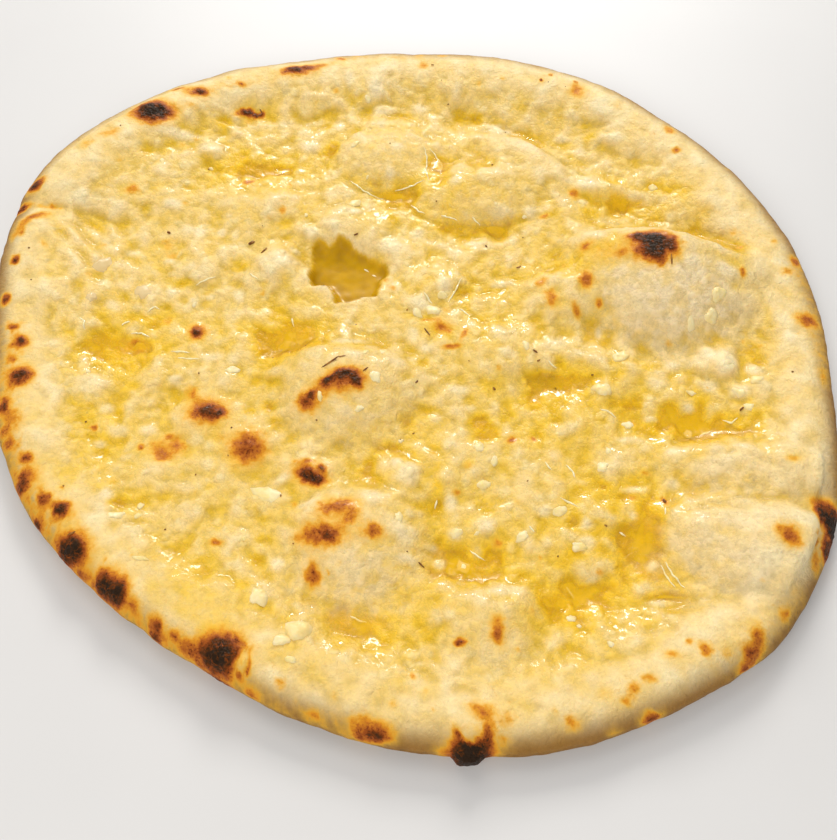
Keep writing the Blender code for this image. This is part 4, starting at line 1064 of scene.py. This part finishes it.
def skin_points(plan):
    """The skin's points and faces, and the share of the upper face that each point has."""
    bread = plan.bread

    def plan_ring(count, share, field):
        angle = np.arange(count) * math.tau / count
        radius = share * (bread.radius(angle) - NOSE_INSET)
        x, y = radius * np.cos(angle), radius * np.sin(angle)
        return np.stack((x, y, plan.at(field, x, y)), axis=1)

    rings = [(plan_ring(6 * step or 1, step / TOP_RINGS, plan.height), 1.0)
             for step in range(TOP_RINGS + 1)]

    count = 6 * TOP_RINGS
    angle = np.arange(count) * math.tau / count
    outward = np.stack((np.cos(angle), np.sin(angle), np.zeros(count)), axis=1)
    core = outward * (bread.radius(angle) - NOSE_INSET)[:, None]
    core[:, 2] = CORE_HEIGHT
    top = plan_ring(count, 1.0, plan.height)[:, 2] - CORE_HEIGHT
    bottom = CORE_HEIGHT - plan_ring(count, 1.0, plan.under)[:, 2]
    for step in range(1, NOSE_STEPS):
        turn = math.pi * (0.5 - step / NOSE_STEPS)
        rays = outward * math.cos(turn) + np.array((0.0, 0.0, math.sin(turn)))
        reach = np.array([bread.tree.ray_cast(Vector(start), Vector(ray))[3] or NOSE_INSET
                          for start, ray in zip(core, rays)])
        reach = bread.smooth_round(reach)
        steep = abs(math.sin(turn))
        blend = smooth_step(0.75, 1.0, steep)
        reach = reach * (1.0 - blend) + (top if turn > 0 else bottom) / max(steep, 0.5) * blend
        rings.append((core + rays * reach[:, None], 0.5 + 0.5 * math.sin(turn)))

    under = [(count, 1.0), (count // 2, 0.975)]
    under += [(6 * step or 1, step / UNDER_RINGS) for step in reversed(range(UNDER_RINGS))]
    rings += [(plan_ring(*ring, plan.under), 0.0) for ring in under]

    points, faces, numbers = surface([ring for ring, _ in rings])
    return points, faces, np.repeat([share for _, share in rings], [len(ring) for ring in numbers])


def spot_heat(offset, right, up, normal, length, width, wander):
    """The share of its heat that an oval burn has at offsets from its middle."""
    size = min(1.1, 0.2 * min(length, width))
    u = offset @ right + size * wander[:, 0]
    v = offset @ up + size * wander[:, 1]
    off = offset @ normal
    reach = (2 * u / length) ** 2 + (2 * v / width) ** 2 + (2 * off / max(length, width)) ** 2
    return 0.68 * np.exp(-1.35 * reach) + 0.32 * np.exp(-0.45 * reach)


def burn_heat(plan, points):
    """How burnt the crust is at each point: each burn is an oval that lies along the crust."""
    bread = plan.bread
    x, y, z = points.T
    warp = np.stack([plan_noise(x + z, y - z, 3.2, seed) for seed in (201, 202)], axis=1)
    fine = np.stack([plan_noise(x - z, y + z, 1.5, seed) for seed in (203, 204)], axis=1)
    wander = 0.85 * warp + 0.55 * fine
    heat = np.zeros(len(points))
    camera_right = (bread.camera.to_3x3() @ Vector((1.0, 0.0, 0.0))).normalized()
    spots = [(*bread.seen(spot[:2]), *spot[2:]) for group in BURNS.values() for spot in group]
    draw = random.Random(SEED + 4)
    for _ in range(FRECKLES):
        x, y = bread.random_place(draw, FRECKLE_INSET)
        size = draw.uniform(*FRECKLE_SIZES)
        middle = Vector((x, y, float(plan.at(plan.height, x, y))))
        spots.append((middle, UP, size, size * draw.uniform(0.6, 1.0),
                      draw.uniform(0.0, 180.0), draw.choice(FRECKLE_HEATS)))
    for middle, normal, length, width, turn, hottest in spots:
        normal = (normal + BURN_UPRIGHT * UP).normalized()
        right = (camera_right - normal * camera_right.dot(normal)).normalized()
        up = normal.cross(right)
        turn = math.radians(turn)
        along = np.array(right * math.cos(turn) + up * math.sin(turn))
        across = np.array(up * math.cos(turn) - right * math.sin(turn))
        offset = points - np.array(middle)
        near = np.linalg.norm(offset, axis=1) < 1.8 * max(length, width) + 2.0
        share = spot_heat(offset[near], along, across, np.array(normal), length, width, wander[near])
        heat[near] = np.hypot(heat[near], hottest * share)
    for *pixel, radius, thickness, hottest in BURNT_RINGS.values():
        offset = points - np.array(bread.seen(pixel)[0])
        gap = np.linalg.norm(offset, axis=1) + 1.3 * warp[:, 0] + 0.6 * fine[:, 0] - radius
        ring = hottest * bell(gap, 0.6 * thickness) * (0.7 + 0.8 * warp[:, 1])
        heat = np.hypot(heat, np.clip(ring, 0.0, None))
    for pixels, width, hottest in TOASTED.values():
        gap = line_distance(points, [np.array(bread.seen(pixel)[0]) for pixel in pixels])
        patchy = np.clip(0.75 + 0.6 * warp[:, 0] + 0.35 * fine[:, 1], 0.1, 1.5)
        heat = np.hypot(heat, hottest * patchy * bell(gap, width))
    for *pixel, length, width, turn in PALE_SKINS.values():
        offset = points - np.array(bread.seen(pixel)[0])
        gap = oval_reach(offset[:, 0], offset[:, 1], (0.0, 0.0, length, width, turn)) + 0.12 * warp[:, 0]
        heat *= 0.4 + 0.6 * smooth_step(0.5, 1.3, gap)
    return heat


def curl_relief(bread, points):
    """The curled ridges of charred bubbles, and the lumps of char at the edge."""
    relief = np.zeros(len(points))
    for *pixel, radius, height in CHAR_LUMPS.values():
        distance = np.linalg.norm(points - np.array(bread.seen(pixel)[0]), axis=1)
        relief += height * (1.0 - smooth_step(0.5 * radius, 1.3 * radius, distance))
    for *pixel, radius, spacing, height in CURLS.values():
        offset = points - np.array(bread.seen(pixel)[0])
        distance = np.linalg.norm(offset, axis=1)
        turn = np.arctan2(offset[:, 1], offset[:, 0])
        wave = np.cos(math.tau * (distance / spacing) + turn)
        relief += height * (0.6 * wave + 0.3) * (1.0 - smooth_step(0.8 * radius, 1.5 * radius, distance))
    return relief


def make_skin(plan, material):
    """The bread's skin: burnt by place, uneven at its edge, and crackled where it is charred."""
    points, faces, upper = skin_points(plan)
    x, y = points[:, 0], points[:, 1]
    heat = burn_heat(plan, points)
    below = upper < 0.25
    spots = swells(partial(space_noise, points[below]), UNDER_SPOTS)
    heat[below] = np.hypot(heat[below], 1.1 * smooth_step(0.18, 0.75, spots) + 0.16)

    relief = np.zeros(len(points))
    side = (1.0 - smooth_step(0.8, 1.0, upper)) * smooth_step(0.0, 0.14, upper)
    edge = (upper < 1.0) & (upper > 0.0)
    relief[edge] = swells(partial(space_noise, points[edge]), EDGE_SWELLS) * side[edge]
    burnt = np.flatnonzero(heat > 0.5)
    char = smooth_step(0.6, 1.2, heat[burnt])
    crackle = np.abs(space_noise(points[burnt], 1.6, 8)) + 0.5 * space_noise(points[burnt], 0.9, 9)
    relief[burnt] += char * (0.75 * crackle - 0.25) + 0.25 * smooth_step(0.4, 0.9, heat[burnt])
    relief += curl_relief(plan.bread, points)
    points += point_normals(points, faces) * relief[:, None]
    over = points[:, 2] - HIGHEST
    points[:, 2] = np.where(over > 0.0, HIGHEST + SQUASH * over, np.maximum(points[:, 2], 0.0))

    fields = {name: plan.at(field, x, y) * upper for name, field in plan.fields.items()}
    skin = new_mesh_object("naan_skin", points, faces, {**fields, "burn": heat, "upper": upper})
    skin.data.materials.append(material)
    return skin


def make_butter(plan, material):
    """The butter's surface, where it stands above the dough, carried on a little under it."""
    wet = plan.depth > 0.0
    grown = wet.copy()
    for shift, axis in ((1, 0), (-1, 0), (1, 1), (-1, 1)):
        grown |= np.roll(wet, shift, axis)
    grown &= plan.inset > FILM_INSET
    cells = grown[:-1, :-1] & grown[1:, :-1] & grown[:-1, 1:] & grown[1:, 1:]
    used = np.zeros(grown.shape, bool)
    for low, left in ((0, 0), (1, 0), (0, 1), (1, 1)):
        used[low:low + cells.shape[0], left:left + cells.shape[1]] |= cells
    number = np.full(grown.shape, -1)
    number[used] = np.arange(used.sum())
    corners = (number[:-1, :-1], number[:-1, 1:], number[1:, 1:], number[1:, :-1])
    faces = np.stack([corner[cells] for corner in corners], axis=1)
    points = np.stack((plan.x[used], plan.y[used], plan.butter[used]), axis=1)
    butter = new_mesh_object("melted_butter", points, faces.tolist(), {"depth": plan.depth[used]})
    butter.data.materials.append(material)
    return butter


def bit_shape(draw, length, width, thickness, turn, jitter):
    """One uneven lump with blunt corners: an icosphere pushed about by smooth noise."""
    bm = bmesh.new()
    bmesh.ops.create_icosphere(bm, subdivisions=2, radius=0.5)
    shift = Vector((draw.uniform(0, 99), draw.uniform(0, 99), draw.uniform(0, 99)))
    for vert in bm.verts:
        vert.co = Vector([math.copysign(abs(2 * part) ** 0.8 / 2, part) for part in vert.co])
        vert.co *= 1.0 + jitter * noise.noise(vert.co * 2.6 + shift)
        vert.co = Vector((vert.co.x * length, vert.co.y * width, vert.co.z * thickness))
    bm.transform(Matrix.Rotation(math.radians(turn), 4, "Z"))
    points = [vert.co.copy() for vert in bm.verts]
    faces = [[vert.index for vert in face.verts] for face in bm.faces]
    bm.free()
    return points, faces


def set_down(plan, x, y, points, sink, thickness):
    """Moves a lump's points so that it lies along the dough, partly sunk in it."""
    step = 1.5
    slope_x = plan.at(plan.ground, x + step, y) - plan.at(plan.ground, x - step, y)
    slope_y = plan.at(plan.ground, x, y + step) - plan.at(plan.ground, x, y - step)
    up = Vector((-float(slope_x), -float(slope_y), 2 * step)).normalized()
    lie = UP.rotation_difference(up).to_matrix()
    place = Vector((x, y, float(plan.at(plan.ground, x, y)))) + up * thickness * (0.5 - sink)
    return [lie @ point + place for point in points]


def chip_shape(plan, draw, x, y, length, width, thickness, turn):
    """A cut chip of garlic, with a flat top and rounded corners, that lies on the dough."""
    count = draw.choice((4, 5, 5, 6))
    start = draw.uniform(0.0, math.tau)
    angle = np.arange(CHIP_STEPS) * math.tau / CHIP_STEPS
    cuts = 0.0
    for number in range(count):
        facing = start + (number + draw.uniform(-0.28, 0.28)) * math.tau / count
        cut = np.clip(np.cos(angle - facing) / draw.uniform(0.7, 1.0), 0.0, None)
        cuts = cuts + cut ** CHIP_SHARPNESS
    edge = np.clip(cuts ** (-1.0 / CHIP_SHARPNESS), None, 1.25)
    shift = draw.uniform(0.0, 90.0)
    edge *= 1.0 + 0.2 * plan_noise(1.8 * np.cos(angle) + shift, 1.8 * np.sin(angle), 1.0, 72)
    turn = math.radians(turn)
    rings = []
    tilt = draw.uniform(-0.12, 0.12), draw.uniform(-0.12, 0.12)
    for share, level in CHIP_RINGS:
        u, v = 0.5 * length * share * edge * np.cos(angle), 0.5 * width * share * edge * np.sin(angle)
        if share == 0.0:
            u, v = u[:1], v[:1]
        px = x + u * math.cos(turn) - v * math.sin(turn)
        py = y + u * math.sin(turn) + v * math.cos(turn)
        lie = 0.65 * plan.at(plan.flat_ground, px, py) + 0.35 * plan.at(plan.ground, px, py)
        rise = thickness * (level + (tilt[0] * u + tilt[1] * v) / length * (level > 0.0))
        uneven = 0.5 * thickness * plan_noise(px, py, 1.7, 71) * (level > 0.0)
        rings.append(np.stack((px, py, lie + rise + uneven), axis=1))
    return surface(rings)[:2]


def joined(name, parts, material):
    """One object from many small shapes."""
    points, faces = [], []
    for part_points, part_faces in parts:
        start = len(points)
        points.extend(part_points)
        faces.extend([[start + number for number in face] for face in part_faces])
    made = new_mesh_object(name, [tuple(point) for point in points], faces)
    made.data.materials.append(material)
    return made


def make_garlic(plan, material):
    """The garlic that shows clearly, then small chips at random where the dough is buttered."""
    draw = random.Random(SEED + 1)
    parts, taken = [], []
    for *pixel, length, width, thickness, turn in GARLIC.values():
        x, y = plan.bread.plan(pixel)
        parts.append(chip_shape(plan, draw, x, y, length, width, CHIP_RISE * thickness, turn))
        taken.append((x, y, length))
    while len(parts) < CHIPS:
        x, y = plan.bread.random_place(draw, CHIP_INSET)
        length = draw.choice(CHIP_LENGTHS) * draw.uniform(0.85, 1.15)
        width, turn = length * draw.uniform(0.5, 0.9), draw.uniform(0.0, 180.0)
        crowded = any(math.dist((x, y), other[:2]) < CHIP_GAP * (length + other[2]) for other in taken)
        wanted = float(plan.at(plan.crumbs, x, y))
        if crowded or draw.random() > wanted:
            continue
        thickness = 0.16 + 0.08 * length * draw.uniform(0.5, 1.2)
        parts.append(chip_shape(plan, draw, x, y, length, width, thickness, turn))
        taken.append((x, y, length))
    return joined("garlic_bits", parts, material)


def make_slices(plan, material):
    """The thin, half-clear round slices."""
    draw = random.Random(SEED + 2)
    parts = []
    for *pixel, width in CLEAR_SLICES.values():
        x, y = plan.bread.plan(pixel)
        parts.append(chip_shape(plan, draw, x, y, width, 0.9 * width, 0.6, draw.uniform(0, 90)))
    return joined("garlic_slices", parts, material)


def make_painted_glint_threads(plan, material):
    """Thin rounded butter threads, pale painted highlights, which lie on the dough and narrow at their ends.
    """
    draw = random.Random(SEED + 4)
    parts = []
    for pixels in PAINTED_GLINT_THREADS:
        line = np.array([plan.bread.plan(pixel) for pixel in pixels])
        run = np.concatenate(([0.0], np.cumsum(np.hypot(*np.diff(line, axis=0).T))))
        steps = max(int(run[-1] / GLINT_THREAD_STEP), 4)
        place = np.linspace(0.0, run[-1], steps + 1)
        x, y = (np.interp(place, run, line[:, axis])
                + 0.25 * plan_noise(place, place, 2.6, draw.randrange(900)) for axis in (0, 1))
        along = np.stack((np.gradient(x), np.gradient(y)), axis=1)
        along /= np.linalg.norm(along, axis=1, keepdims=True)
        width = GLINT_THREAD_WIDTH * np.sin(math.pi * (place / run[-1] * 0.94 + 0.03)) ** 0.6
        width *= 1.0 + 0.5 * plan_noise(place, 0.0 * place, 1.7, draw.randrange(900))
        level = plan.at(plan.ground, x, y)
        turn = np.arange(GLINT_THREAD_SIDES) * math.tau / GLINT_THREAD_SIDES
        across, lift = np.cos(turn), np.sin(turn) + 0.1
        rings = [np.stack((x[n] - along[n, 1] * half * across, y[n] + along[n, 0] * half * across,
                           level[n] + half * lift), axis=1) for n, half in enumerate(0.5 * width)]
        points, faces, numbers = surface(rings, inward=True)
        parts.append((points, faces + [numbers[0], numbers[-1][::-1]]))
    return joined("painted_glint_threads", parts, material)


def make_flecks(plan, material):
    """The burnt flecks and strands by place, then grains at random."""
    draw = random.Random(SEED + 3)
    parts = []
    for x1, y1, x2, y2, width in FLECKS.values():
        start, end = np.array(plan.bread.plan((x1, y1))), np.array(plan.bread.plan((x2, y2)))
        run = end - start
        length = max(math.hypot(*run), 1.2 * width)
        turn = math.degrees(math.atan2(run[1], run[0]))
        points, faces = bit_shape(draw, length, width, 0.8 * width, turn, 0.5)
        parts.append((set_down(plan, *(start + end) / 2, points, 0.15, 0.8 * width), faces))
    for _ in range(LOOSE_FLECKS):
        x, y = plan.bread.random_place(draw, LOOSE_FLECK_INSET)
        size = draw.uniform(*LOOSE_FLECK_SIZES)
        points, faces = bit_shape(draw, size * draw.uniform(1.0, 2.0), size, size, draw.uniform(0, 180), 0.5)
        parts.append((set_down(plan, x, y, points, 0.3, size), faces))
    return joined("dark_flecks", parts, material)


# --------------------------------------------------------------------------- materials
class Nodes:
    """Short ways to add and join a material's nodes."""

    def __init__(self, name):
        self.material = bpy.data.materials.new(name)
        self.material.use_nodes = True
        self.tree = self.material.node_tree
        self.shader = self.tree.nodes["Principled BSDF"]

    def join(self, value, socket):
        if isinstance(value, bpy.types.NodeSocket):
            self.tree.links.new(value, socket)
        else:
            socket.default_value = value

    def set(self, **values):
        """Sets the shader's sockets, with _ for a space in a name."""
        for name, value in values.items():
            self.join(value, self.shader.inputs[name.replace("_", " ")])

    def math(self, operation, *values, clamp=False):
        made = self.tree.nodes.new("ShaderNodeMath")
        made.operation, made.use_clamp = operation, clamp
        for value, socket in zip(values, made.inputs):
            self.join(value, socket)
        return made.outputs[0]

    def plus(self, first, second):
        return self.math("ADD", first, second)

    def minus(self, first, second):
        return self.math("SUBTRACT", first, second)

    def times(self, product, *factors):
        for factor in factors:
            product = self.math("MULTIPLY", product, factor)
        return product

    def swing(self, value, size):
        """A value about 0.5, brought to swing about 0 by size."""
        return self.times(self.minus(value, 0.5), size)

    def ridge(self, *noise):
        """0 along thin winding lines, and more away from them."""
        return self.math("ABSOLUTE", self.minus(self.noise(*noise), 0.5))

    def attribute(self, name):
        made = self.tree.nodes.new("ShaderNodeAttribute")
        made.attribute_name = name
        return made.outputs["Fac"]

    def place(self):
        made = self.tree.nodes.new("ShaderNodeTexCoord")
        return made.outputs["Object"]

    def noise(self, size, detail=2.0, rough=0.5, output="Fac"):
        """Noise about 0 to 1, whose bumps are about size millimetres."""
        made = self.tree.nodes.new("ShaderNodeTexNoise")
        self.join(self.place(), made.inputs["Vector"])
        made.inputs["Scale"].default_value = 1.0 / (size * MM)
        made.inputs["Detail"].default_value = detail
        made.inputs["Roughness"].default_value = rough
        return made.outputs[output]

    def cells(self, size, warp=0.0):
        """The distance from the middle of the nearest cell, with cells of size millimetres."""
        shift = self.tree.nodes.new("ShaderNodeVectorMath")
        shift.operation = "MULTIPLY_ADD"
        self.join(self.noise(0.8 * size, 1.0, 0.4, "Color"), shift.inputs[0])
        shift.inputs[1].default_value = (warp * MM,) * 3
        self.join(self.place(), shift.inputs[2])
        made = self.tree.nodes.new("ShaderNodeTexVoronoi")
        made.feature = "F1"
        self.join(shift.outputs[0], made.inputs["Vector"])
        made.inputs["Scale"].default_value = 1.0 / (size * MM)
        return made.outputs["Distance"]

    def range(self, value, low, high, to_low=0.0, to_high=1.0):
        """A smooth step from to_low to to_high as value goes from low to high."""
        made = self.tree.nodes.new("ShaderNodeMapRange")
        made.interpolation_type = "SMOOTHSTEP"
        for number, part in enumerate((value, low, high, to_low, to_high)):
            self.join(part, made.inputs[number])
        return made.outputs[0]

    def ramp(self, value, stops):
        made = self.tree.nodes.new("ShaderNodeValToRGB")
        elements = made.color_ramp.elements
        while len(elements) < len(stops):
            elements.new(0.5)
        for element, (place, colour) in zip(elements, stops):
            element.position = place
            element.color = (*colour, 1.0)
        self.join(value, made.inputs[0])
        return made.outputs[0]

    def mix(self, share, first, second, blend="MIX"):
        made = self.tree.nodes.new("ShaderNodeMix")
        made.data_type, made.blend_type = "RGBA", blend
        self.join(share, made.inputs[0])
        for value, socket in ((first, made.inputs[6]), (second, made.inputs[7])):
            self.join((*value, 1.0) if isinstance(value, tuple) else value, socket)
        return made.outputs[2]

    def scaled(self, colour, share):
        """A colour made darker by a share."""
        grey = self.tree.nodes.new("ShaderNodeCombineColor")
        for socket in grey.inputs:
            self.join(share, socket)
        return self.mix(1.0, colour, grey.outputs[0], "MULTIPLY")

    def bump(self, height, distance, strength=1.0, normal=None):
        """A bump of that many millimetres."""
        made = self.tree.nodes.new("ShaderNodeBump")
        made.inputs["Strength"].default_value = strength
        made.inputs["Distance"].default_value = distance * MM
        self.join(height, made.inputs["Height"])
        if normal is not None:
            self.join(normal, made.inputs["Normal"])
        return made.outputs[0]


def crust_material():
    n = Nodes("naan_crust")
    mottle, grain = n.noise(4.6, 1.0), n.noise(0.9, 2.0, 0.55)
    gold, wet, grey, burn, rim, upper, deep, cave, clear = (n.attribute(name) for name in (
        "gold", "wet", "grey", "burn", "rim", "upper", "hollow", "cave", "pale"))
    dry = n.minus(1.0, cave)
    golden = n.math("ADD", n.plus(gold, n.swing(mottle, 0.18)), n.swing(n.noise(1.5), 0.03), clamp=True)

    fold = n.ridge(3.6, 3.0, 0.6)
    fold_line = n.range(fold, 0.05, 0.0)
    # Random tone, darker mottling on the smooth blisters, and painted shade in hollows and along fold lines.
    tone_and_painted_shade = n.times(
        n.range(n.noise(1.1, 3.0, 0.6), 0.3, 0.7, 0.93, 1.0),
        n.range(n.noise(3.4), 0.3, 0.7, n.range(grey, 0.0, 0.5, 0.93, 0.88), 1.0),
        n.range(deep, 0.0, 1.0, 1.0, 0.84),
        n.range(fold_line, 0.2, 1.0, 1.0, n.range(rim, 0.0, 1.0, 0.9, 0.95)))
    lump = n.times(
        n.range(n.cells(4.6, 3.4), 0.62, 0.16), n.range(n.noise(7.0), 0.42, 0.6, 0.15, 1.0),
        n.range(grey, 0.0, 0.6, 1.0, 0.5), n.range(rim, 0.2, 0.9, 1.0, 0.35), dry)
    pits = n.range(n.noise(1.8, 2.0, 0.55), 0.5, 0.72)
    freckle = n.times(n.range(n.noise(1.9, 3.0, 0.7), 0.56, 0.72), n.range(n.noise(13.0), 0.42, 0.66))
    under = n.mix(mottle, (0.74, 0.47, 0.17), (0.84, 0.60, 0.27))

    colour = n.ramp(golden, CRUST_COLOURS)
    for share, tint in (
        (n.times(lump, n.range(golden, 0.35, 0.8, 0.42, 0.06)), (0.95, 0.80, 0.45)),
        (n.times(clear, n.range(mottle, 0.3, 0.6, 0.3, 0.6)), (0.97, 0.82, 0.50)),
        (n.times(grey, n.range(mottle, 0.36, 0.64, 0.3, 0.95)), (0.97, 0.775, 0.46)),
        (n.times(pits, n.plus(n.range(wet, 0.75, 0.3, 0.04, 0.22), n.times(grey, 0.3))), (0.70, 0.54, 0.27)),
        (n.times(freckle, n.range(rim, 0.0, 1.0, 0.1, 0.6)), (0.80, 0.46, 0.11)),
        (n.range(grain, 0.6, 0.8, 0.0, 0.16), (0.70, 0.48, 0.18)),
        # Dark brown on the side of the rounded edge: partly toasted crust, mostly painted shade.
        (n.range(upper, 0.95, 0.6, 0.0, 0.94), (0.30, 0.136, 0.020)),
        (n.range(upper, 0.22, 0.06, 0.0, 0.9), under),
    ):
        colour = n.mix(share, colour, tint)
    floor = n.mix(n.range(n.noise(6.0, 1.0), 0.35, 0.65), (0.47, 0.25, 0.002), (0.58, 0.32, 0.002))
    colour = n.mix(cave, n.scaled(colour, tone_and_painted_shade), floor)

    burnt = n.times(burn, n.plus(n.swing(n.noise(1.7, 2.0, 0.55), 0.8), 1.0))
    speckle = n.times(n.range(n.noise(0.7, 1.0), 0.5, 0.8), n.range(burn, 0.2, 0.6))
    burnt = n.plus(burnt, n.times(speckle, 0.25))
    burnt = n.plus(burnt, n.times(n.range(burnt, 0.5, 0.85), 0.13))
    crease = n.times(n.range(n.ridge(2.6), 0.08, 0.0), n.range(burn, 0.75, 1.1, 0.0, 0.36))
    burnt = n.minus(burnt, crease)
    burnt_colour = n.ramp(n.math("DIVIDE", n.minus(burnt, 0.12), 1.1), BURN_COLOURS)
    colour = n.mix(n.range(burnt, 0.03, 0.34), colour, burnt_colour)

    shine = n.range(wet, 0.1, 0.9)
    rough = n.math("ADD", n.minus(0.6, n.times(shine, 0.26)), n.swing(grain, 0.3), clamp=True)
    coat = n.times(shine, n.range(fold_line, 0.1, 0.7, 0.12, 0.9), n.range(burnt, 0.3, 0.7, 1.0, 0.4))
    normal = None
    for height, distance, strength in (
        (n.times(grain, dry), 0.09, 0.75),
        (n.times(n.range(fold, 0.0, 0.16), dry), 0.2, 0.8),
        (lump, 0.3, 0.9),
        (n.times(n.cells(0.9), n.range(burn, 0.5, 0.9)), 0.5, 0.8),
    ):
        normal = n.bump(height, distance, strength, normal)
    n.set(Base_Color=colour, Roughness=rough, Coat_Weight=coat, Coat_Roughness=0.09, Coat_IOR=1.46,
          Subsurface_Weight=0.12, Subsurface_Radius=(1.0, 0.55, 0.2), Subsurface_Scale=0.0035,
          Specular_IOR_Level=0.15, Normal=normal)
    return n.material


def butter_material():
    n = Nodes("melted_butter")
    deep = n.plus(n.attribute("depth"), n.swing(n.noise(4.0, 3.0, 0.6), 0.6))
    colour = n.ramp(n.range(deep, 0.0, 1.6), BUTTER_COLOURS)
    n.set(Base_Color=colour, Roughness=n.range(n.ridge(4.0), 0.02, 0.09, 0.07, 0.3),
          Alpha=n.range(deep, 0.0, 1.5, 0.0, 0.66), Specular_IOR_Level=0.5, Coat_Roughness=0.04,
          Normal=n.bump(n.noise(3.0, 1.0), 0.2, 0.6))
    return n.material


def painted_glint_material():
    n = Nodes("painted_glint_threads")
    # Near white: a painted highlight, over the threads' own gloss.
    colour = n.mix(n.noise(2.0), (0.97, 0.80, 0.35), (1.0, 0.91, 0.60))
    n.set(Base_Color=colour, Roughness=n.range(n.noise(1.4), 0.3, 0.7, 0.06, 0.2), Specular_IOR_Level=0.5,
          Subsurface_Weight=0.3, Subsurface_Radius=(1.0, 0.8, 0.4), Subsurface_Scale=0.002,
          Normal=n.bump(n.noise(1.2), 0.05, 0.5))
    return n.material


def garlic_material():
    n = Nodes("garlic_bits")
    tint = n.noise(5.0, 3.0, 0.6)
    colour = n.mix(n.range(tint, 0.35, 0.65), (0.91, 0.68, 0.27), (0.95, 0.77, 0.42))
    n.set(Base_Color=colour, Roughness=n.range(n.noise(1.2), 0.3, 0.7, 0.4, 0.6), Coat_Weight=0.1,
          Coat_Roughness=0.12, Specular_IOR_Level=0.25, Subsurface_Weight=0.25,
          Subsurface_Radius=(1.0, 0.7, 0.35), Subsurface_Scale=0.003,
          Normal=n.bump(n.noise(0.8, 3.0), 0.2, 0.6))
    return n.material


def slice_material():
    n = Nodes("garlic_slices")
    colour = n.mix(n.noise(2.5), (0.86, 0.67, 0.33), (0.93, 0.78, 0.46))
    n.set(Base_Color=colour, Roughness=0.4, Alpha=0.6, Coat_Weight=0.15, Coat_Roughness=0.15,
          Specular_IOR_Level=0.25, Normal=n.bump(n.noise(1.0), 0.15, 0.5))
    return n.material


def fleck_material():
    n = Nodes("dark_flecks")
    colour = n.mix(n.range(n.noise(1.5), 0.4, 0.7), (0.16, 0.06, 0.016), (0.40, 0.19, 0.04))
    n.set(Base_Color=colour, Roughness=n.range(n.noise(0.6), 0.3, 0.7, 0.4, 0.7),
          Specular_IOR_Level=0.25, Normal=n.bump(n.noise(0.4), 0.1, 0.6))
    return n.material


# --------------------------------------------------------------------------- the studio
def make_floor():
    size = FLOOR_HALF_SIDE
    mesh = bpy.data.meshes.new("floor")
    mesh.from_pydata([(-size, -size, 0), (size, -size, 0), (size, size, 0), (-size, size, 0)], [],
                     [(0, 1, 2, 3)])
    floor = bpy.data.objects.new("floor", mesh)
    bpy.context.scene.collection.objects.link(floor)
    n = Nodes("floor")
    n.set(Base_Color=n.mix(n.noise(60.0), (0.66, 0.65, 0.64), (0.70, 0.69, 0.68)), Roughness=0.5)
    mesh.materials.append(n.material)


def add_light(name, place, size, power, colour, mirrored):
    """A soft light that faces the bread: it is either mirrored in it or lights it."""
    light = bpy.data.lights.new(name, "AREA")
    light.shape = "RECTANGLE"
    light.size, light.size_y = size
    light.energy, light.color = power, colour
    made = bpy.data.objects.new(name, light)
    made.visible_glossy, made.visible_diffuse = mirrored, not mirrored
    made.location = place
    made.rotation_euler = (-Vector(place)).to_track_quat("-Z", "Y").to_euler()
    bpy.context.scene.collection.objects.link(made)


def light_and_camera():
    for name, light in LIGHTS.items():
        add_light(name, *light)
    world = bpy.data.worlds.new("studio")
    world.use_nodes = True
    colour, strength = world.node_tree.nodes["Background"].inputs[:2]
    colour.default_value, strength.default_value = SKY_COLOUR, SKY_STRENGTH
    scene = bpy.context.scene
    scene.world = world
    scene.view_settings.view_transform = "Standard"
    scene.view_settings.look = "None"
    scene.view_settings.exposure = 0.0

    camera = bpy.data.objects.new("camera", bpy.data.cameras.new("camera"))
    camera.data.sensor_width = SENSOR_WIDTH
    camera.data.lens = SENSOR_WIDTH / 2 / math.tan(math.radians(FIELD_OF_VIEW) / 2)
    camera.data.clip_start = 0.01
    matrix = camera_matrix()
    matrix.translation *= MM
    camera.matrix_world = matrix
    scene.collection.objects.link(camera)
    scene.camera = camera


def main(frame):
    plan = shape_plan(Bread(frame["nodes"]["naan"]))
    skin = make_skin(plan, crust_material())
    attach(skin, "root")
    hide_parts("naan")
    for piece, slot in (
        (make_butter(plan, butter_material()), "butter"),
        (make_garlic(plan, garlic_material()), "garlic"),
        (make_slices(plan, slice_material()), "garlic"),
        (make_painted_glint_threads(plan, painted_glint_material()), "butter"),
        (make_flecks(plan, fleck_material()), "char"),
    ):
        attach(piece, "root")
    make_floor()
    light_and_camera()


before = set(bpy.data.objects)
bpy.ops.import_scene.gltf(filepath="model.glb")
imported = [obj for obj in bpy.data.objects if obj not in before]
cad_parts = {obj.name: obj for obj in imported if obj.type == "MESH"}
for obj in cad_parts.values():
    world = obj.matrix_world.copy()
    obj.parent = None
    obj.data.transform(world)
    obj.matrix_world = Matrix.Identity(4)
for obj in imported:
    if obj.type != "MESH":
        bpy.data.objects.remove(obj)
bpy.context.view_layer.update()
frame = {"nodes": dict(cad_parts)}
main(frame)
